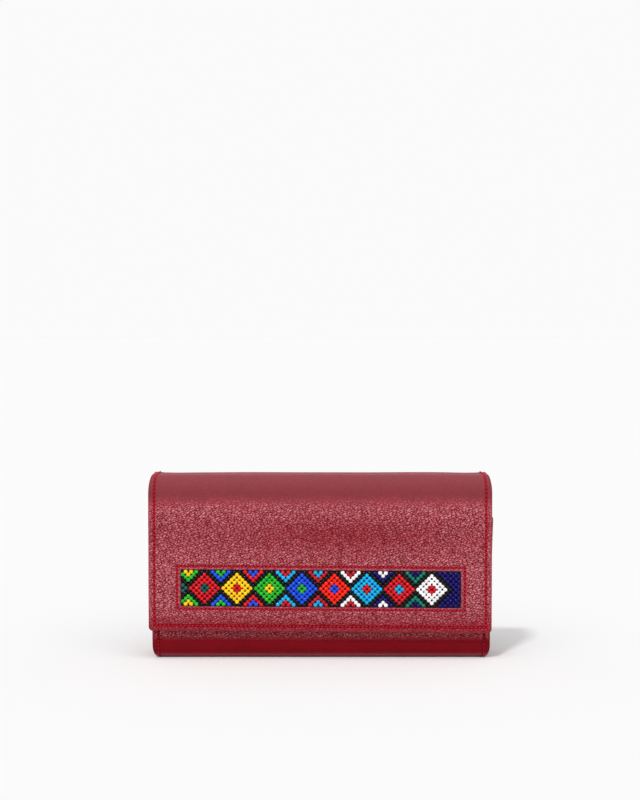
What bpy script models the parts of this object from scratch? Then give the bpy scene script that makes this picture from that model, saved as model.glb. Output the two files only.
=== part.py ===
"""A long leather wallet with a fold-over flap and a woven bead panel, at its real size.

The wallet stands on its bottom fold. +X runs along its length, -Y is the front and +Z is up. The origin is
the centre of its outline on the surface that it stands on.
"""

import math
from collections import namedtuple

import bmesh
import bpy
from mathutils import Vector

MM = 0.001

# Driving dimensions
HEIGHT = 105.0 * MM
POUCH_DEPTH = 28.0 * MM
POUCH_WIDTH = 191.6 * MM
MOUTH_FLARE = 1.3 * MM
BASE_PINCH = 2.8 * MM
COVER_INSET = 0.5 * MM
FLAP_FLARE = 2.2 * MM
FRONT_WALL_HEIGHT = 81.5 * MM
FLAP_HEM_HEIGHT = 16.0 * MM
BASE_RADIUS = 8.0 * MM
BACK_FOLD_RADIUS = 9.0 * MM
FRONT_FOLD_RADIUS = 11.0 * MM
FLAP_CORNER_RADIUS = 2.0 * MM

# Sheet materials, from the outside in
LEATHER = 1.4 * MM
STIFFENER = 0.4 * MM
LINING = 0.6 * MM
SEAT = 0.3 * MM
HEM = 5.0 * MM
EDGE_ROUND = 0.35 * MM

# Bead panel: beads stand on the sides of square cells, so two rows alternate half a cell apart
BEAD_CELL = 3.07 * MM
BEAD_HEIGHT = 0.9 * MM
BEAD_PROUD = 0.35 * MM
BEAD_TOP = 0.28
BEAD_EDGE = 0.32
DIAMOND_PITCH = 6
DIAMOND_COUNT = 8
CELLS_BEFORE_FIRST_DIAMOND = 4.5
CELLS_AFTER_LAST_DIAMOND = 5.5
CELLS_TO_TOP_ROW = 3
BEAD_PANEL_X = 0.4 * MM
BEAD_PANEL_ABOVE_HEM = 24.8 * MM

# Magnetic snap
SNAP_DIAMETER = 14.0 * MM
SNAP_HOLE_DIAMETER = 6.4 * MM
SNAP_NUB_DIAMETER = 5.4 * MM
SNAP_SOCKET = 0.9 * MM
SNAP_STUD = 0.6 * MM
SNAP_ABOVE_HEM = 14.0 * MM

# Folded side gussets
GUSSET = 1.0 * MM
GUSSET_TAB = 3.6 * MM
GUSSET_FOLD_DEPTH = 9.3 * MM
GUSSET_EDGE = 0.5 * MM
GUSSET_BELOW_MOUTH = 2.5 * MM

# Coin pocket with its zipper
COIN_LEAF = 0.9 * MM
COIN_SPACE = 4.6 * MM
COIN_BELOW_MOUTH = 7.5 * MM
ZIP_LENGTH = 128.0 * MM
ZIP_TAPE = 0.5 * MM
ZIP_TAPE_LEG = 9.0 * MM
ZIP_TAPE_RISE = 1.2 * MM
ZIP_TAPE_SLOT = 1.1 * MM
ZIP_ROW_WIDTH = 3.8 * MM
ZIP_ROW_HEIGHT = 1.5 * MM
TOOTH_PITCH = 2.5 * MM
TOOTH_WIDTH = 0.95 * MM
TOOTH_REACH = 0.6 * MM
ZIP_STOP_LENGTH = 1.6 * MM
SLIDER_LENGTH = 8.0 * MM
SLIDER_PLATE = 0.9 * MM
SLIDER_FLANGE = 0.7 * MM
SLIDER_END_ROOM = 2.0 * MM
ARCH_LENGTH = 4.2 * MM
ARCH_WIDTH = 1.4 * MM
ARCH_BAR = 0.7 * MM
ARCH_HOLE_HEIGHT = 1.6 * MM
PULL_LENGTH = 13.5 * MM
PULL_WIDTH = 4.8 * MM
PULL_THICKNESS = 0.9 * MM
PULL_SLOT = 3.0 * MM

# Card panel on the back wall
CARD_INSET = 8.8 * MM
CARD_PANEL = 0.6 * MM
CARD_STRIP = 0.5 * MM
CARD_STRIP_COUNT = 4
CARD_BELOW_FOLD = 1.0 * MM
CARD_FIRST_STEP = 7.0 * MM
CARD_STRIP_STEP = 12.0 * MM
CARD_ABOVE_BEND = 2.0 * MM

ARC_STEPS = 6
ROUND_STEPS = 28

# Places worked out from the sizes above
POUCH_MOUTH_WIDTH = POUCH_WIDTH + 2 * MOUTH_FLARE
POUCH_BASE_WIDTH = POUCH_WIDTH - 2 * BASE_PINCH
COVER_WIDTH = POUCH_WIDTH - 2 * COVER_INSET
FLAP_WIDTH = COVER_WIDTH + 2 * FLAP_FLARE
FLAP_STACK = LEATHER + SEAT + STIFFENER + SEAT + LINING
WALL_STACK = LEATHER + SEAT + LINING
SNAP_GAP = SEAT + SNAP_SOCKET + SEAT + SNAP_STUD + SEAT
TOTAL_DEPTH = POUCH_DEPTH + SNAP_GAP + FLAP_STACK + BEAD_PROUD
BACK_Y = TOTAL_DEPTH / 2
FRONT_Y = BACK_Y - POUCH_DEPTH
FLAP_Y = FRONT_Y - SNAP_GAP - FLAP_STACK
INNER_FRONT_Y = FRONT_Y + WALL_STACK
INNER_BACK_Y = BACK_Y - WALL_STACK
CARD_WIDTH = POUCH_WIDTH - 2 * CARD_INSET
CARD_STRIP_PITCH = CARD_STRIP + SEAT
CARD_BOTTOM = BASE_RADIUS + CARD_ABOVE_BEND
CARD_PANEL_TOP = HEIGHT - BACK_FOLD_RADIUS - CARD_BELOW_FOLD
CARD_STRIP_TOP = CARD_PANEL_TOP - CARD_FIRST_STEP
CARD_PANEL_Y = INNER_BACK_Y - SEAT
CARD_FRONT_Y = CARD_PANEL_Y - CARD_PANEL - CARD_STRIP_COUNT * CARD_STRIP_PITCH
COIN_DEPTH = COIN_SPACE + 2 * COIN_LEAF
COIN_Y = (INNER_FRONT_Y + CARD_FRONT_Y) / 2
COIN_WIDTH = POUCH_WIDTH - 2 * (GUSSET_EDGE + GUSSET_TAB + GUSSET_FOLD_DEPTH + 2 * GUSSET)
COIN_BOTTOM = WALL_STACK + SEAT
COIN_POCKET_TOP = FRONT_WALL_HEIGHT - COIN_BELOW_MOUTH
ZIP_TAPE_TOP = COIN_POCKET_TOP + ZIP_TAPE_RISE
ZIP_ROW_BOTTOM = ZIP_TAPE_TOP + SEAT
ZIP_ROW_TOP = ZIP_ROW_BOTTOM + ZIP_ROW_HEIGHT
SLIDER_TOP = ZIP_ROW_TOP + SEAT + SLIDER_PLATE
PULL_AXIS_Z = SLIDER_TOP + SEAT + PULL_THICKNESS / 2
SLIDER_TRAVEL = ZIP_LENGTH - SLIDER_LENGTH - 2 * SLIDER_END_ROOM
SLIDER_X = SLIDER_TRAVEL / 2
BEAD_ROWS_HALF = (CELLS_TO_TOP_ROW + BEAD_EDGE) * BEAD_CELL
BEAD_COLUMNS = (
    CELLS_BEFORE_FIRST_DIAMOND
    + DIAMOND_PITCH * (DIAMOND_COUNT - 1)
    + CELLS_AFTER_LAST_DIAMOND
)
BEAD_PANEL_WIDTH = BEAD_COLUMNS * BEAD_CELL
BEAD_PANEL_Z = FLAP_HEM_HEIGHT + BEAD_PANEL_ABOVE_HEM
SNAP_Z = FLAP_HEM_HEIGHT + SNAP_ABOVE_HEM

# The two fold lines. A quarter turn of leather of neutral radius r is pi r / 2 long, and lies straight when
# its fold line stands pi r / 4 out from the centre of the turn along both legs.
FOLD_REACH = math.pi / 4
BACK_TURN = (BACK_Y - BACK_FOLD_RADIUS, HEIGHT - BACK_FOLD_RADIUS)
FRONT_TURN = (FLAP_Y + FRONT_FOLD_RADIUS, HEIGHT - FRONT_FOLD_RADIUS)
BACK_FOLD = (
    BACK_TURN[0] + FOLD_REACH * (BACK_FOLD_RADIUS - LEATHER / 2),
    BACK_TURN[1] + FOLD_REACH * (BACK_FOLD_RADIUS - LEATHER / 2),
)
FRONT_FOLD = (
    FRONT_TURN[0] - FOLD_REACH * (FRONT_FOLD_RADIUS - LEATHER / 2),
    FRONT_TURN[1] + FOLD_REACH * (FRONT_FOLD_RADIUS - LEATHER / 2),
)

Station = namedtuple("Station", "y z angle half_width")

BEAD_COLOURS = {
    "black": (0.012, 0.012, 0.014),
    "navy": (0.018, 0.012, 0.085),
    "teal": (0.012, 0.085, 0.075),
    "red": (0.55, 0.012, 0.018),
    "orange_red": (0.66, 0.035, 0.012),
    "dark_red": (0.28, 0.006, 0.014),
    "yellow": (0.80, 0.42, 0.012),
    "green": (0.022, 0.38, 0.020),
    "blue": (0.018, 0.075, 0.56),
    "light_blue": (0.010, 0.30, 0.52),
    "white": (0.78, 0.77, 0.78),
    "thread": (0.05, 0.03, 0.03),
}

# Outer colour and heart of each diamond, from the one cut off by the left edge onwards
DIAMONDS = (
    ("teal", "teal"),
    ("red", "teal"),
    ("yellow", "red"),
    ("green", "yellow"),
    ("blue", "green"),
    ("orange_red", "blue"),
    ("light_blue", "red"),
    ("red", "light_blue"),
    ("white", "red"),
)

# Outer colour and heart of the half diamonds between one diamond and the next
HALF_DIAMONDS = (
    ("green", "yellow"),
    ("blue", "green"),
    ("red", "blue"),
    ("light_blue", "red"),
    ("dark_red", "light_blue"),
    ("white", "dark_red"),
    ("navy", "white"),
    ("teal", "navy"),
)


def clear_scene():
    """Starts from an empty scene."""
    for found in list(bpy.data.objects):
        bpy.data.objects.remove(found, do_unlink=True)


def make_material(name, colour, roughness, metallic=0.0):
    """A plain finish for one object."""
    material = bpy.data.materials.new(name)
    material.use_nodes = True
    shader = material.node_tree.nodes["Principled BSDF"]
    shader.inputs["Base Color"].default_value = (*colour, 1.0)
    shader.inputs["Roughness"].default_value = roughness
    shader.inputs["Metallic"].default_value = metallic
    material.diffuse_color = (*colour, 1.0)
    return material


def leather_material(name):
    return make_material(name, (0.30, 0.012, 0.026), 0.45)


def lining_material(name):
    return make_material(name, (0.16, 0.010, 0.018), 0.85)


def card_material(name):
    return make_material(name, (0.24, 0.012, 0.022), 0.55)


def brass_material(name):
    return make_material(name, (0.62, 0.44, 0.20), 0.32, 1.0)


def nickel_material(name):
    return make_material(name, (0.60, 0.58, 0.55), 0.28, 1.0)


def add_object(name, shape, materials, parent=None):
    """Turns a bmesh into a named object, in its parent's space if it has one."""
    bmesh.ops.recalc_face_normals(shape, faces=shape.faces)
    mesh = bpy.data.meshes.new(name)
    shape.to_mesh(mesh)
    shape.free()
    for material in materials:
        mesh.materials.append(material)
    mesh.shade_smooth()
    mesh.set_sharp_from_angle(angle=math.radians(35.0))
    made = bpy.data.objects.new(name, mesh)
    bpy.context.scene.collection.objects.link(made)
    if parent is not None:
        made.parent = parent
        made.matrix_parent_inverse = parent.matrix_world.inverted()
    return made


def add_pivot(name, x, y, z, parent=None):
    """An empty on a joint's axis, which carries the pieces that move together."""
    pivot = bpy.data.objects.new(name, None)
    pivot.empty_display_size = 10.0 * MM
    bpy.context.scene.collection.objects.link(pivot)
    pivot.location = (x, y, z)
    bpy.context.view_layer.update()
    if parent is not None:
        pivot.parent = parent
        pivot.matrix_parent_inverse = parent.matrix_world.inverted()
        bpy.context.view_layer.update()
    return pivot


def round_edges(made, width=EDGE_ROUND, segments=2):
    """Rounds the cut edges of a sheet, and leaves its gentle bends alone."""
    bevel = made.modifiers.new("rounded_edges", "BEVEL")
    bevel.width = width
    bevel.segments = segments
    bevel.limit_method = "ANGLE"
    bevel.angle_limit = math.radians(50.0)


def cut_from(made, cutter):
    """Takes a hidden cutter's shape out of an object."""
    cutter.hide_render = True
    cutter.display_type = "WIRE"
    boolean = made.modifiers.new("cut_" + cutter.name, "BOOLEAN")
    boolean.operation = "DIFFERENCE"
    boolean.solver = "EXACT"
    boolean.object = cutter


def box_shape(low, high):
    """A bmesh box between two corners."""
    shape = bmesh.new()
    bmesh.ops.create_cube(shape, size=1.0)
    for vertex in shape.verts:
        for axis in range(3):
            vertex.co[axis] = high[axis] if vertex.co[axis] > 0 else low[axis]
    return shape


def box(name, low, high, material, parent=None):
    return add_object(name, box_shape(low, high), [material], parent)


def join_rings(shape, rings):
    """Closes a tube of equal rings of vertices, with a face on each end."""
    for first, second in zip(rings, rings[1:]):
        for corner in range(len(first)):
            after = (corner + 1) % len(first)
            shape.faces.new((first[corner], first[after], second[after], second[corner]))
    shape.faces.new(rings[0])
    shape.faces.new(list(reversed(rings[-1])))


def turn(centre, radius, start_deg, end_deg, half_width):
    """Stations round a bend. An angle of 0 faces the back, 90 up, 180 the front and 270 down.

    half_width is a function of the share of the bend that lies behind.
    """
    stations = []
    steps = max(2, round(ARC_STEPS * abs(end_deg - start_deg) / 90.0))
    for step in range(steps + 1):
        share = step / steps
        angle = math.radians(start_deg + (end_deg - start_deg) * share)
        y = centre[0] + radius * math.cos(angle)
        z = centre[1] + radius * math.sin(angle)
        stations.append(Station(y, z, angle, half_width(share)))
    return stations


def swept_shape(stations, near, far, inset):
    """A sheet that follows the stations, from near to far below the outer surface."""
    shape = bmesh.new()
    rings = []
    for station in stations:
        half = station.half_width - inset
        ring = []
        for depth, side in ((near, -1), (near, 1), (far, 1), (far, -1)):
            y = station.y - depth * math.cos(station.angle)
            z = station.z - depth * math.sin(station.angle)
            ring.append(shape.verts.new((side * half, y, z)))
        rings.append(ring)
    join_rings(shape, rings)
    return shape


def swept_sheet(name, stations, near, far, inset, material, parent=None):
    return add_object(name, swept_shape(stations, near, far, inset), [material], parent)


def side_line(z):
    """Half the front wall's width at a height: pinched where it turns under, wider towards the mouth."""
    if z < BASE_RADIUS:
        rise = 1 - z / BASE_RADIUS
        share = math.sqrt(max(0.0, 1 - rise * rise))
        return (POUCH_BASE_WIDTH + (POUCH_WIDTH - POUCH_BASE_WIDTH) * share) / 2
    share = (z - BASE_RADIUS) / (FRONT_WALL_HEIGHT - BASE_RADIUS)
    return (POUCH_WIDTH + (POUCH_MOUTH_WIDTH - POUCH_WIDTH) * share) / 2


def split_angle(radius):
    """Half the gap at a fold line, as an angle in degrees."""
    return math.degrees(SEAT * 0.6 / radius)


def body_stations():
    """The outside of the pouch: down the front, round the base, up the back and half round the back fold."""
    front_turn = (FRONT_Y + BASE_RADIUS, BASE_RADIUS)
    back_turn = (BACK_Y - BASE_RADIUS, BASE_RADIUS)
    stations = [Station(FRONT_Y, FRONT_WALL_HEIGHT, math.pi, side_line(FRONT_WALL_HEIGHT))]
    for bend in (
        turn(front_turn, BASE_RADIUS, 180.0, 270.0, lambda share: 0.0),
        turn(back_turn, BASE_RADIUS, 270.0, 360.0, lambda share: 0.0),
    ):
        for station in bend:
            stations.append(station._replace(half_width=side_line(station.z)))
    end = 45.0 - split_angle(BACK_FOLD_RADIUS)
    stations += turn(BACK_TURN, BACK_FOLD_RADIUS, 0.0, end, lambda share: COVER_WIDTH / 2)
    return stations


def spine_stations(extra=0.0):
    """The strip over the top, from the middle of the back fold to the middle of the front fold."""
    start = 45.0 + split_angle(BACK_FOLD_RADIUS) - extra
    end = 135.0 - split_angle(FRONT_FOLD_RADIUS) + extra
    half_width = COVER_WIDTH / 2
    back = turn(BACK_TURN, BACK_FOLD_RADIUS, start, 90.0, lambda share: half_width)
    front = turn(FRONT_TURN, FRONT_FOLD_RADIUS, 90.0, end, lambda share: half_width)
    return back + front


def flap_stations(extra=0.0, hem=0.0):
    """The flap, from the middle of the front fold to its lower edge, less a hem."""
    start = 135.0 + split_angle(FRONT_FOLD_RADIUS) - extra

    def widening(share):
        eased = math.sin(share * math.pi / 2)
        return (COVER_WIDTH + (FLAP_WIDTH - COVER_WIDTH) * eased) / 2

    stations = turn(FRONT_TURN, FRONT_FOLD_RADIUS, start, 180.0, widening)
    if hem:
        stations.append(Station(FLAP_Y, FLAP_HEM_HEIGHT + hem, math.pi, FLAP_WIDTH / 2))
        return stations
    for corner in (0.0, math.pi / 4, math.pi / 2):
        z = FLAP_HEM_HEIGHT + FLAP_CORNER_RADIUS * (1 - math.sin(corner))
        half_width = FLAP_WIDTH / 2 - FLAP_CORNER_RADIUS * (1 - math.cos(corner))
        stations.append(Station(FLAP_Y, z, math.pi, half_width))
    return stations


def build_pouch():
    """One piece of leather makes the front, the base and the back, with a lining inside it."""
    stations = body_stations()
    leather = swept_sheet("pouch_leather", stations, 0.0, LEATHER, 0.0, leather_material("pouch_leather"))
    round_edges(leather)
    swept_sheet(
        "pouch_lining", stations, LEATHER + SEAT, WALL_STACK, 2 * SEAT, lining_material("pouch_lining")
    )


def turned_leather(name, stations, recess, parent):
    """Leather whose side edges are turned over, so that it is thick at its rim and thin in the middle."""
    leather = swept_sheet(name, stations, 0.0, FLAP_STACK, 0.0, leather_material(name), parent)
    round_edges(leather)
    cutter = swept_sheet(name + "_recess", recess, LEATHER, FLAP_STACK + LEATHER, HEM, None, parent)
    cut_from(leather, cutter)
    return leather


def build_spine(pivot):
    """The strip that joins the back to the flap."""
    turned_leather("spine_leather", spine_stations(), spine_stations(extra=8.0), pivot)
    swept_sheet(
        "spine_lining",
        spine_stations(),
        FLAP_STACK - LINING,
        FLAP_STACK,
        HEM + SEAT,
        lining_material("spine_lining"),
        pivot,
    )


def build_flap(pivot):
    """The flap's leather with its window, the board that backs the beads, and the lining."""
    leather = turned_leather("flap_leather", flap_stations(), flap_stations(8.0, HEM), pivot)
    half_width = BEAD_PANEL_WIDTH / 2 + SEAT
    half_height = BEAD_ROWS_HALF + SEAT
    window = box(
        "flap_window",
        (BEAD_PANEL_X - half_width, FLAP_Y - LEATHER, BEAD_PANEL_Z - half_height),
        (BEAD_PANEL_X + half_width, FLAP_Y + FLAP_STACK, BEAD_PANEL_Z + half_height),
        None,
        pivot,
    )
    cut_from(leather, window)
    stations = flap_stations(0.0, HEM + SEAT)
    flat_part = stations[-2:]
    swept_sheet(
        "flap_stiffener",
        flat_part,
        LEATHER + SEAT,
        LEATHER + SEAT + STIFFENER,
        HEM + SEAT,
        make_material("flap_stiffener", (0.18, 0.13, 0.09), 0.9),
        pivot,
    )
    swept_sheet(
        "flap_lining",
        stations,
        FLAP_STACK - LINING,
        FLAP_STACK,
        HEM + SEAT,
        lining_material("flap_lining"),
        pivot,
    )


def bead_colour(column, row):
    """The colour of a bead, counted in cells from the first whole diamond's centre.

    Steps along the cell sides to the nearest diamond's centre give its ring: heart, two rings of the
    diamond's colour, the black lattice, then the half diamond above or below.
    """
    nearest = min(DIAMOND_COUNT - 1, math.floor(column / DIAMOND_PITCH + 0.5))
    steps = abs(column - DIAMOND_PITCH * nearest) + abs(row)
    outer, heart = DIAMONDS[nearest + 1]
    if steps < 1:
        return heart
    if steps < 3:
        return outer
    if steps < 4:
        return "black"
    gap = math.floor(column / DIAMOND_PITCH) + 1
    if gap >= len(HALF_DIAMONDS):
        return "navy"
    outer, heart = HALF_DIAMONDS[gap]
    return outer if steps < 5 else heart


def bead_places():
    """Column and row of each bead: upright cell sides first, then level ones."""
    last = DIAMOND_PITCH * (DIAMOND_COUNT - 1) + CELLS_AFTER_LAST_DIAMOND
    for half_row in range(-2 * CELLS_TO_TOP_ROW, 2 * CELLS_TO_TOP_ROW + 1):
        row = half_row / 2
        on_upright = half_row % 2 != 0
        column = -CELLS_BEFORE_FIRST_DIAMOND + (0.5 if on_upright else 0.0)
        while column <= last:
            yield column, row
            column += 1


def build_bead_panel(pivot):
    """The woven panel as one sheet of rounded bosses, a boss to a bead, coloured bead by bead."""
    names = list(BEAD_COLOURS)
    last = DIAMOND_PITCH * (DIAMOND_COUNT - 1) + CELLS_AFTER_LAST_DIAMOND
    left = -CELLS_BEFORE_FIRST_DIAMOND
    top = CELLS_TO_TOP_ROW + BEAD_EDGE
    front = FLAP_Y - BEAD_PROUD
    shape = bmesh.new()
    known = {}

    def corner(column, row, depth):
        column = min(max(column, left), last)
        row = min(max(row, -top), top)
        key = (round(column * 100), round(row * 100), depth)
        if key not in known:
            x = BEAD_PANEL_X - BEAD_PANEL_WIDTH / 2 + (column - left) * BEAD_CELL
            known[key] = shape.verts.new((x, front + depth, BEAD_PANEL_Z + row * BEAD_CELL))
        return known[key]

    def face(corners, colour):
        ring = [c for place, c in enumerate(corners) if c is not corners[place - 1]]
        if len(ring) > 2:
            shape.faces.new(ring).material_index = names.index(colour)

    for column, row in bead_places():
        colour = bead_colour(column, row)
        around = ((0, -1), (1, 0), (0, 1), (-1, 0))
        low = [corner(column + 0.5 * u, row + 0.5 * v, BEAD_HEIGHT) for u, v in around]
        high = [corner(column + BEAD_TOP * u, row + BEAD_TOP * v, 0.0) for u, v in around]
        face(high, colour)
        for place in range(4):
            after = (place + 1) % 4
            if high[place] is high[after] or low[place] is low[after]:
                continue
            on_edge = all(
                abs(known_column - column) < 1e-6 and column in (left, last)
                for known_column in (column + 0.5 * around[place][0], column + 0.5 * around[after][0])
            )
            if not on_edge:
                face([low[place], low[after], high[after], high[place]], colour)

    # Between the outer beads, small triangles of thread carry the sheet to its straight edges.
    column = left + 0.5
    while column < last:
        for side in (-1, 1):
            face(
                [
                    corner(column, side * CELLS_TO_TOP_ROW, BEAD_HEIGHT),
                    corner(column + 0.5, side * top, BEAD_HEIGHT),
                    corner(column - 0.5, side * top, BEAD_HEIGHT),
                ],
                "thread",
            )
        column += 1

    rim = [edge for edge in shape.edges if edge.is_boundary]
    walls = bmesh.ops.extrude_edge_only(shape, edges=rim)["geom"]
    behind = FLAP_Y + LEATHER
    for vertex in (item for item in walls if isinstance(item, bmesh.types.BMVert)):
        vertex.co.y = behind
    back_rim = [edge for edge in shape.edges if edge.is_boundary]
    bmesh.ops.contextual_create(shape, geom=back_rim)
    for item in shape.faces:
        if abs(item.calc_center_median().y - behind) < 1e-6:
            item.material_index = names.index("thread")
    finishes = [make_material("bead_" + name, BEAD_COLOURS[name], 0.12) for name in names]
    add_object("bead_panel", shape, finishes, pivot)


def ring_disc(shape, x, z, y_near, y_far, radius, hole_radius=0.0):
    """A disc or a ring that faces along Y."""
    rings = []
    outline = ((radius, y_near), (radius, y_far))
    if hole_radius:
        outline += ((hole_radius, y_far), (hole_radius, y_near))
    for step in range(ROUND_STEPS):
        angle = 2 * math.pi * step / ROUND_STEPS
        ring = []
        for distance, y in outline:
            ring.append(shape.verts.new((x + distance * math.cos(angle), y, z + distance * math.sin(angle))))
        rings.append(ring)
    for step in range(ROUND_STEPS):
        first, second = rings[step], rings[(step + 1) % ROUND_STEPS]
        for place in range(len(outline) if hole_radius else 1):
            after = (place + 1) % len(outline)
            shape.faces.new((first[place], first[after], second[after], second[place]))
    if not hole_radius:
        shape.faces.new([ring[0] for ring in rings])
        shape.faces.new([ring[1] for ring in reversed(rings)])


def build_snap(pivot):
    """A magnetic snap: a ring on the pouch's front and a plate with a nub on the flap's lining."""
    socket = bmesh.new()
    socket_back = FRONT_Y - SEAT
    socket_front = socket_back - SNAP_SOCKET
    ring_disc(socket, 0.0, SNAP_Z, socket_front, socket_back, SNAP_DIAMETER / 2, SNAP_HOLE_DIAMETER / 2)
    add_object("snap_socket", socket, [nickel_material("snap_socket")])

    stud = bmesh.new()
    stud_front = FLAP_Y + FLAP_STACK + SEAT
    stud_back = stud_front + SNAP_STUD
    ring_disc(stud, 0.0, SNAP_Z, stud_front, stud_back, SNAP_DIAMETER / 2)
    plate = max(stud.faces, key=lambda item: item.calc_center_median().y * len(item.verts))
    step = SNAP_NUB_DIAMETER / SNAP_DIAMETER
    bmesh.ops.inset_region(stud, faces=[plate], thickness=SNAP_DIAMETER / 2 * (1 - step))
    nub = bmesh.ops.extrude_discrete_faces(stud, faces=[plate])["faces"][0]
    for vertex in nub.verts:
        vertex.co.y = socket_back - SEAT
    add_object("snap_stud", stud, [nickel_material("snap_stud")], pivot)


def offset_line(points, distance):
    """The points of a bent line moved sideways, with mitred corners."""
    moved = []
    for place, point in enumerate(points):
        before = (point - points[place - 1]).normalized() if place > 0 else None
        after = (points[place + 1] - point).normalized() if place < len(points) - 1 else None
        sides = [Vector((-way.y, way.x)) for way in (before, after) if way is not None]
        middle = sum(sides, Vector((0.0, 0.0))).normalized()
        moved.append(point + middle * distance / middle.dot(sides[0]))
    return moved


def wall_inset(z):
    """How far the inside of the base's bend stands in from the upright wall at a height."""
    radius = BASE_RADIUS - WALL_STACK - SEAT
    drop = BASE_RADIUS - z
    if drop <= 0:
        return 0.0
    return radius - math.sqrt(max(0.0, radius * radius - drop * drop))


def gusset_plan(z):
    """A gusset's outer line at a height, seen from above: a tab on each wall and a fold between them."""
    edge = side_line(z) - GUSSET_EDGE
    inset = wall_inset(z) + SEAT
    front = INNER_FRONT_Y + inset
    back = INNER_BACK_Y - inset
    return [
        Vector((edge, front)),
        Vector((edge - GUSSET_TAB, front)),
        Vector((edge - GUSSET_TAB - GUSSET_FOLD_DEPTH, COIN_Y)),
        Vector((edge - GUSSET_TAB, back)),
        Vector((edge, back)),
    ]


def build_gusset(name, side):
    """A pleated side wall between front and back, lofted up from the bend of the base."""
    shape = bmesh.new()
    lowest = WALL_STACK + 2 * SEAT + GUSSET
    highest = FRONT_WALL_HEIGHT - GUSSET_BELOW_MOUTH
    bend_steps = 4
    heights = [lowest + (BASE_RADIUS - lowest) * step / bend_steps for step in range(bend_steps + 1)]
    heights.append(highest)
    rings = []
    for z in heights:
        outer = gusset_plan(z)
        inner = offset_line(outer, -GUSSET)
        ring = outer + list(reversed(inner))
        rings.append([shape.verts.new((side * point.x, point.y, z)) for point in ring])
    join_rings(shape, rings)
    add_object(name, shape, [leather_material(name)])


def build_coin_pocket():
    """Two leaves of lining leather joined by a fold at the bottom, open at the top for the zipper."""
    radius = COIN_DEPTH / 2
    centre = (COIN_Y, COIN_BOTTOM + radius)
    half_width = COIN_WIDTH / 2
    stations = [Station(COIN_Y - radius, COIN_POCKET_TOP, math.pi, half_width)]
    stations += turn(centre, radius, 180.0, 360.0, lambda share: half_width)
    stations.append(Station(COIN_Y + radius, COIN_POCKET_TOP, 2 * math.pi, half_width))
    swept_sheet("coin_pocket", stations, 0.0, COIN_LEAF, 0.0, card_material("coin_pocket"))


def build_zip_tape(name, side):
    """One tape: a leg inside the pocket's leaf and a lip turned in under the teeth."""
    outer = COIN_SPACE / 2 - SEAT
    lip = ZIP_TAPE_SLOT / 2
    line = [
        Vector((outer, COIN_POCKET_TOP - ZIP_TAPE_LEG)),
        Vector((outer, ZIP_TAPE_TOP)),
        Vector((lip, ZIP_TAPE_TOP)),
    ]
    inner = offset_line(line, ZIP_TAPE)
    half_length = ZIP_LENGTH / 2 + 2 * ZIP_STOP_LENGTH
    shape = bmesh.new()
    rings = []
    for x in (-half_length, half_length):
        ring = line + list(reversed(inner))
        rings.append([shape.verts.new((x, COIN_Y + side * point.x, point.y)) for point in ring])
    join_rings(shape, rings)
    add_object(name, shape, [make_material(name, (0.13, 0.010, 0.016), 0.9)])


def build_zip_teeth(name, side, phase):
    """One row of teeth, as a toothed bar whose teeth stand between those of the other row."""
    count = round(ZIP_LENGTH / TOOTH_PITCH)
    root = TOOTH_REACH + SEAT
    outline = []
    start = -count * TOOTH_PITCH / 2
    for tooth in range(count):
        middle = start + (tooth + phase) * TOOTH_PITCH
        outline += [
            (middle - TOOTH_WIDTH / 2, root),
            (middle - TOOTH_WIDTH / 2, -TOOTH_REACH),
            (middle + TOOTH_WIDTH / 2, -TOOTH_REACH),
            (middle + TOOTH_WIDTH / 2, root),
        ]
    outline += [(-start, root), (-start, ZIP_ROW_WIDTH / 2), (start, ZIP_ROW_WIDTH / 2), (start, root)]
    shape = bmesh.new()
    foot = [shape.verts.new((x, COIN_Y + side * y, ZIP_ROW_BOTTOM)) for x, y in outline]
    bottom = shape.faces.new(foot)
    top = bmesh.ops.extrude_face_region(shape, geom=[bottom])["geom"]
    for vertex in (item for item in top if isinstance(item, bmesh.types.BMVert)):
        vertex.co.z = ZIP_ROW_TOP
    add_object(name, shape, [brass_material(name)])


def build_zip_stop(name, side):
    """A small metal clip across both rows at an end of the zipper."""
    near = ZIP_LENGTH / 2 + SEAT
    ends = sorted((side * near, side * (near + ZIP_STOP_LENGTH)))
    low = (ends[0], COIN_Y - ZIP_ROW_WIDTH / 2, ZIP_ROW_BOTTOM)
    high = (ends[1], COIN_Y + ZIP_ROW_WIDTH / 2, ZIP_ROW_TOP)
    stop = box(name, low, high, brass_material(name))
    round_edges(stop, 0.3 * MM)


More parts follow.
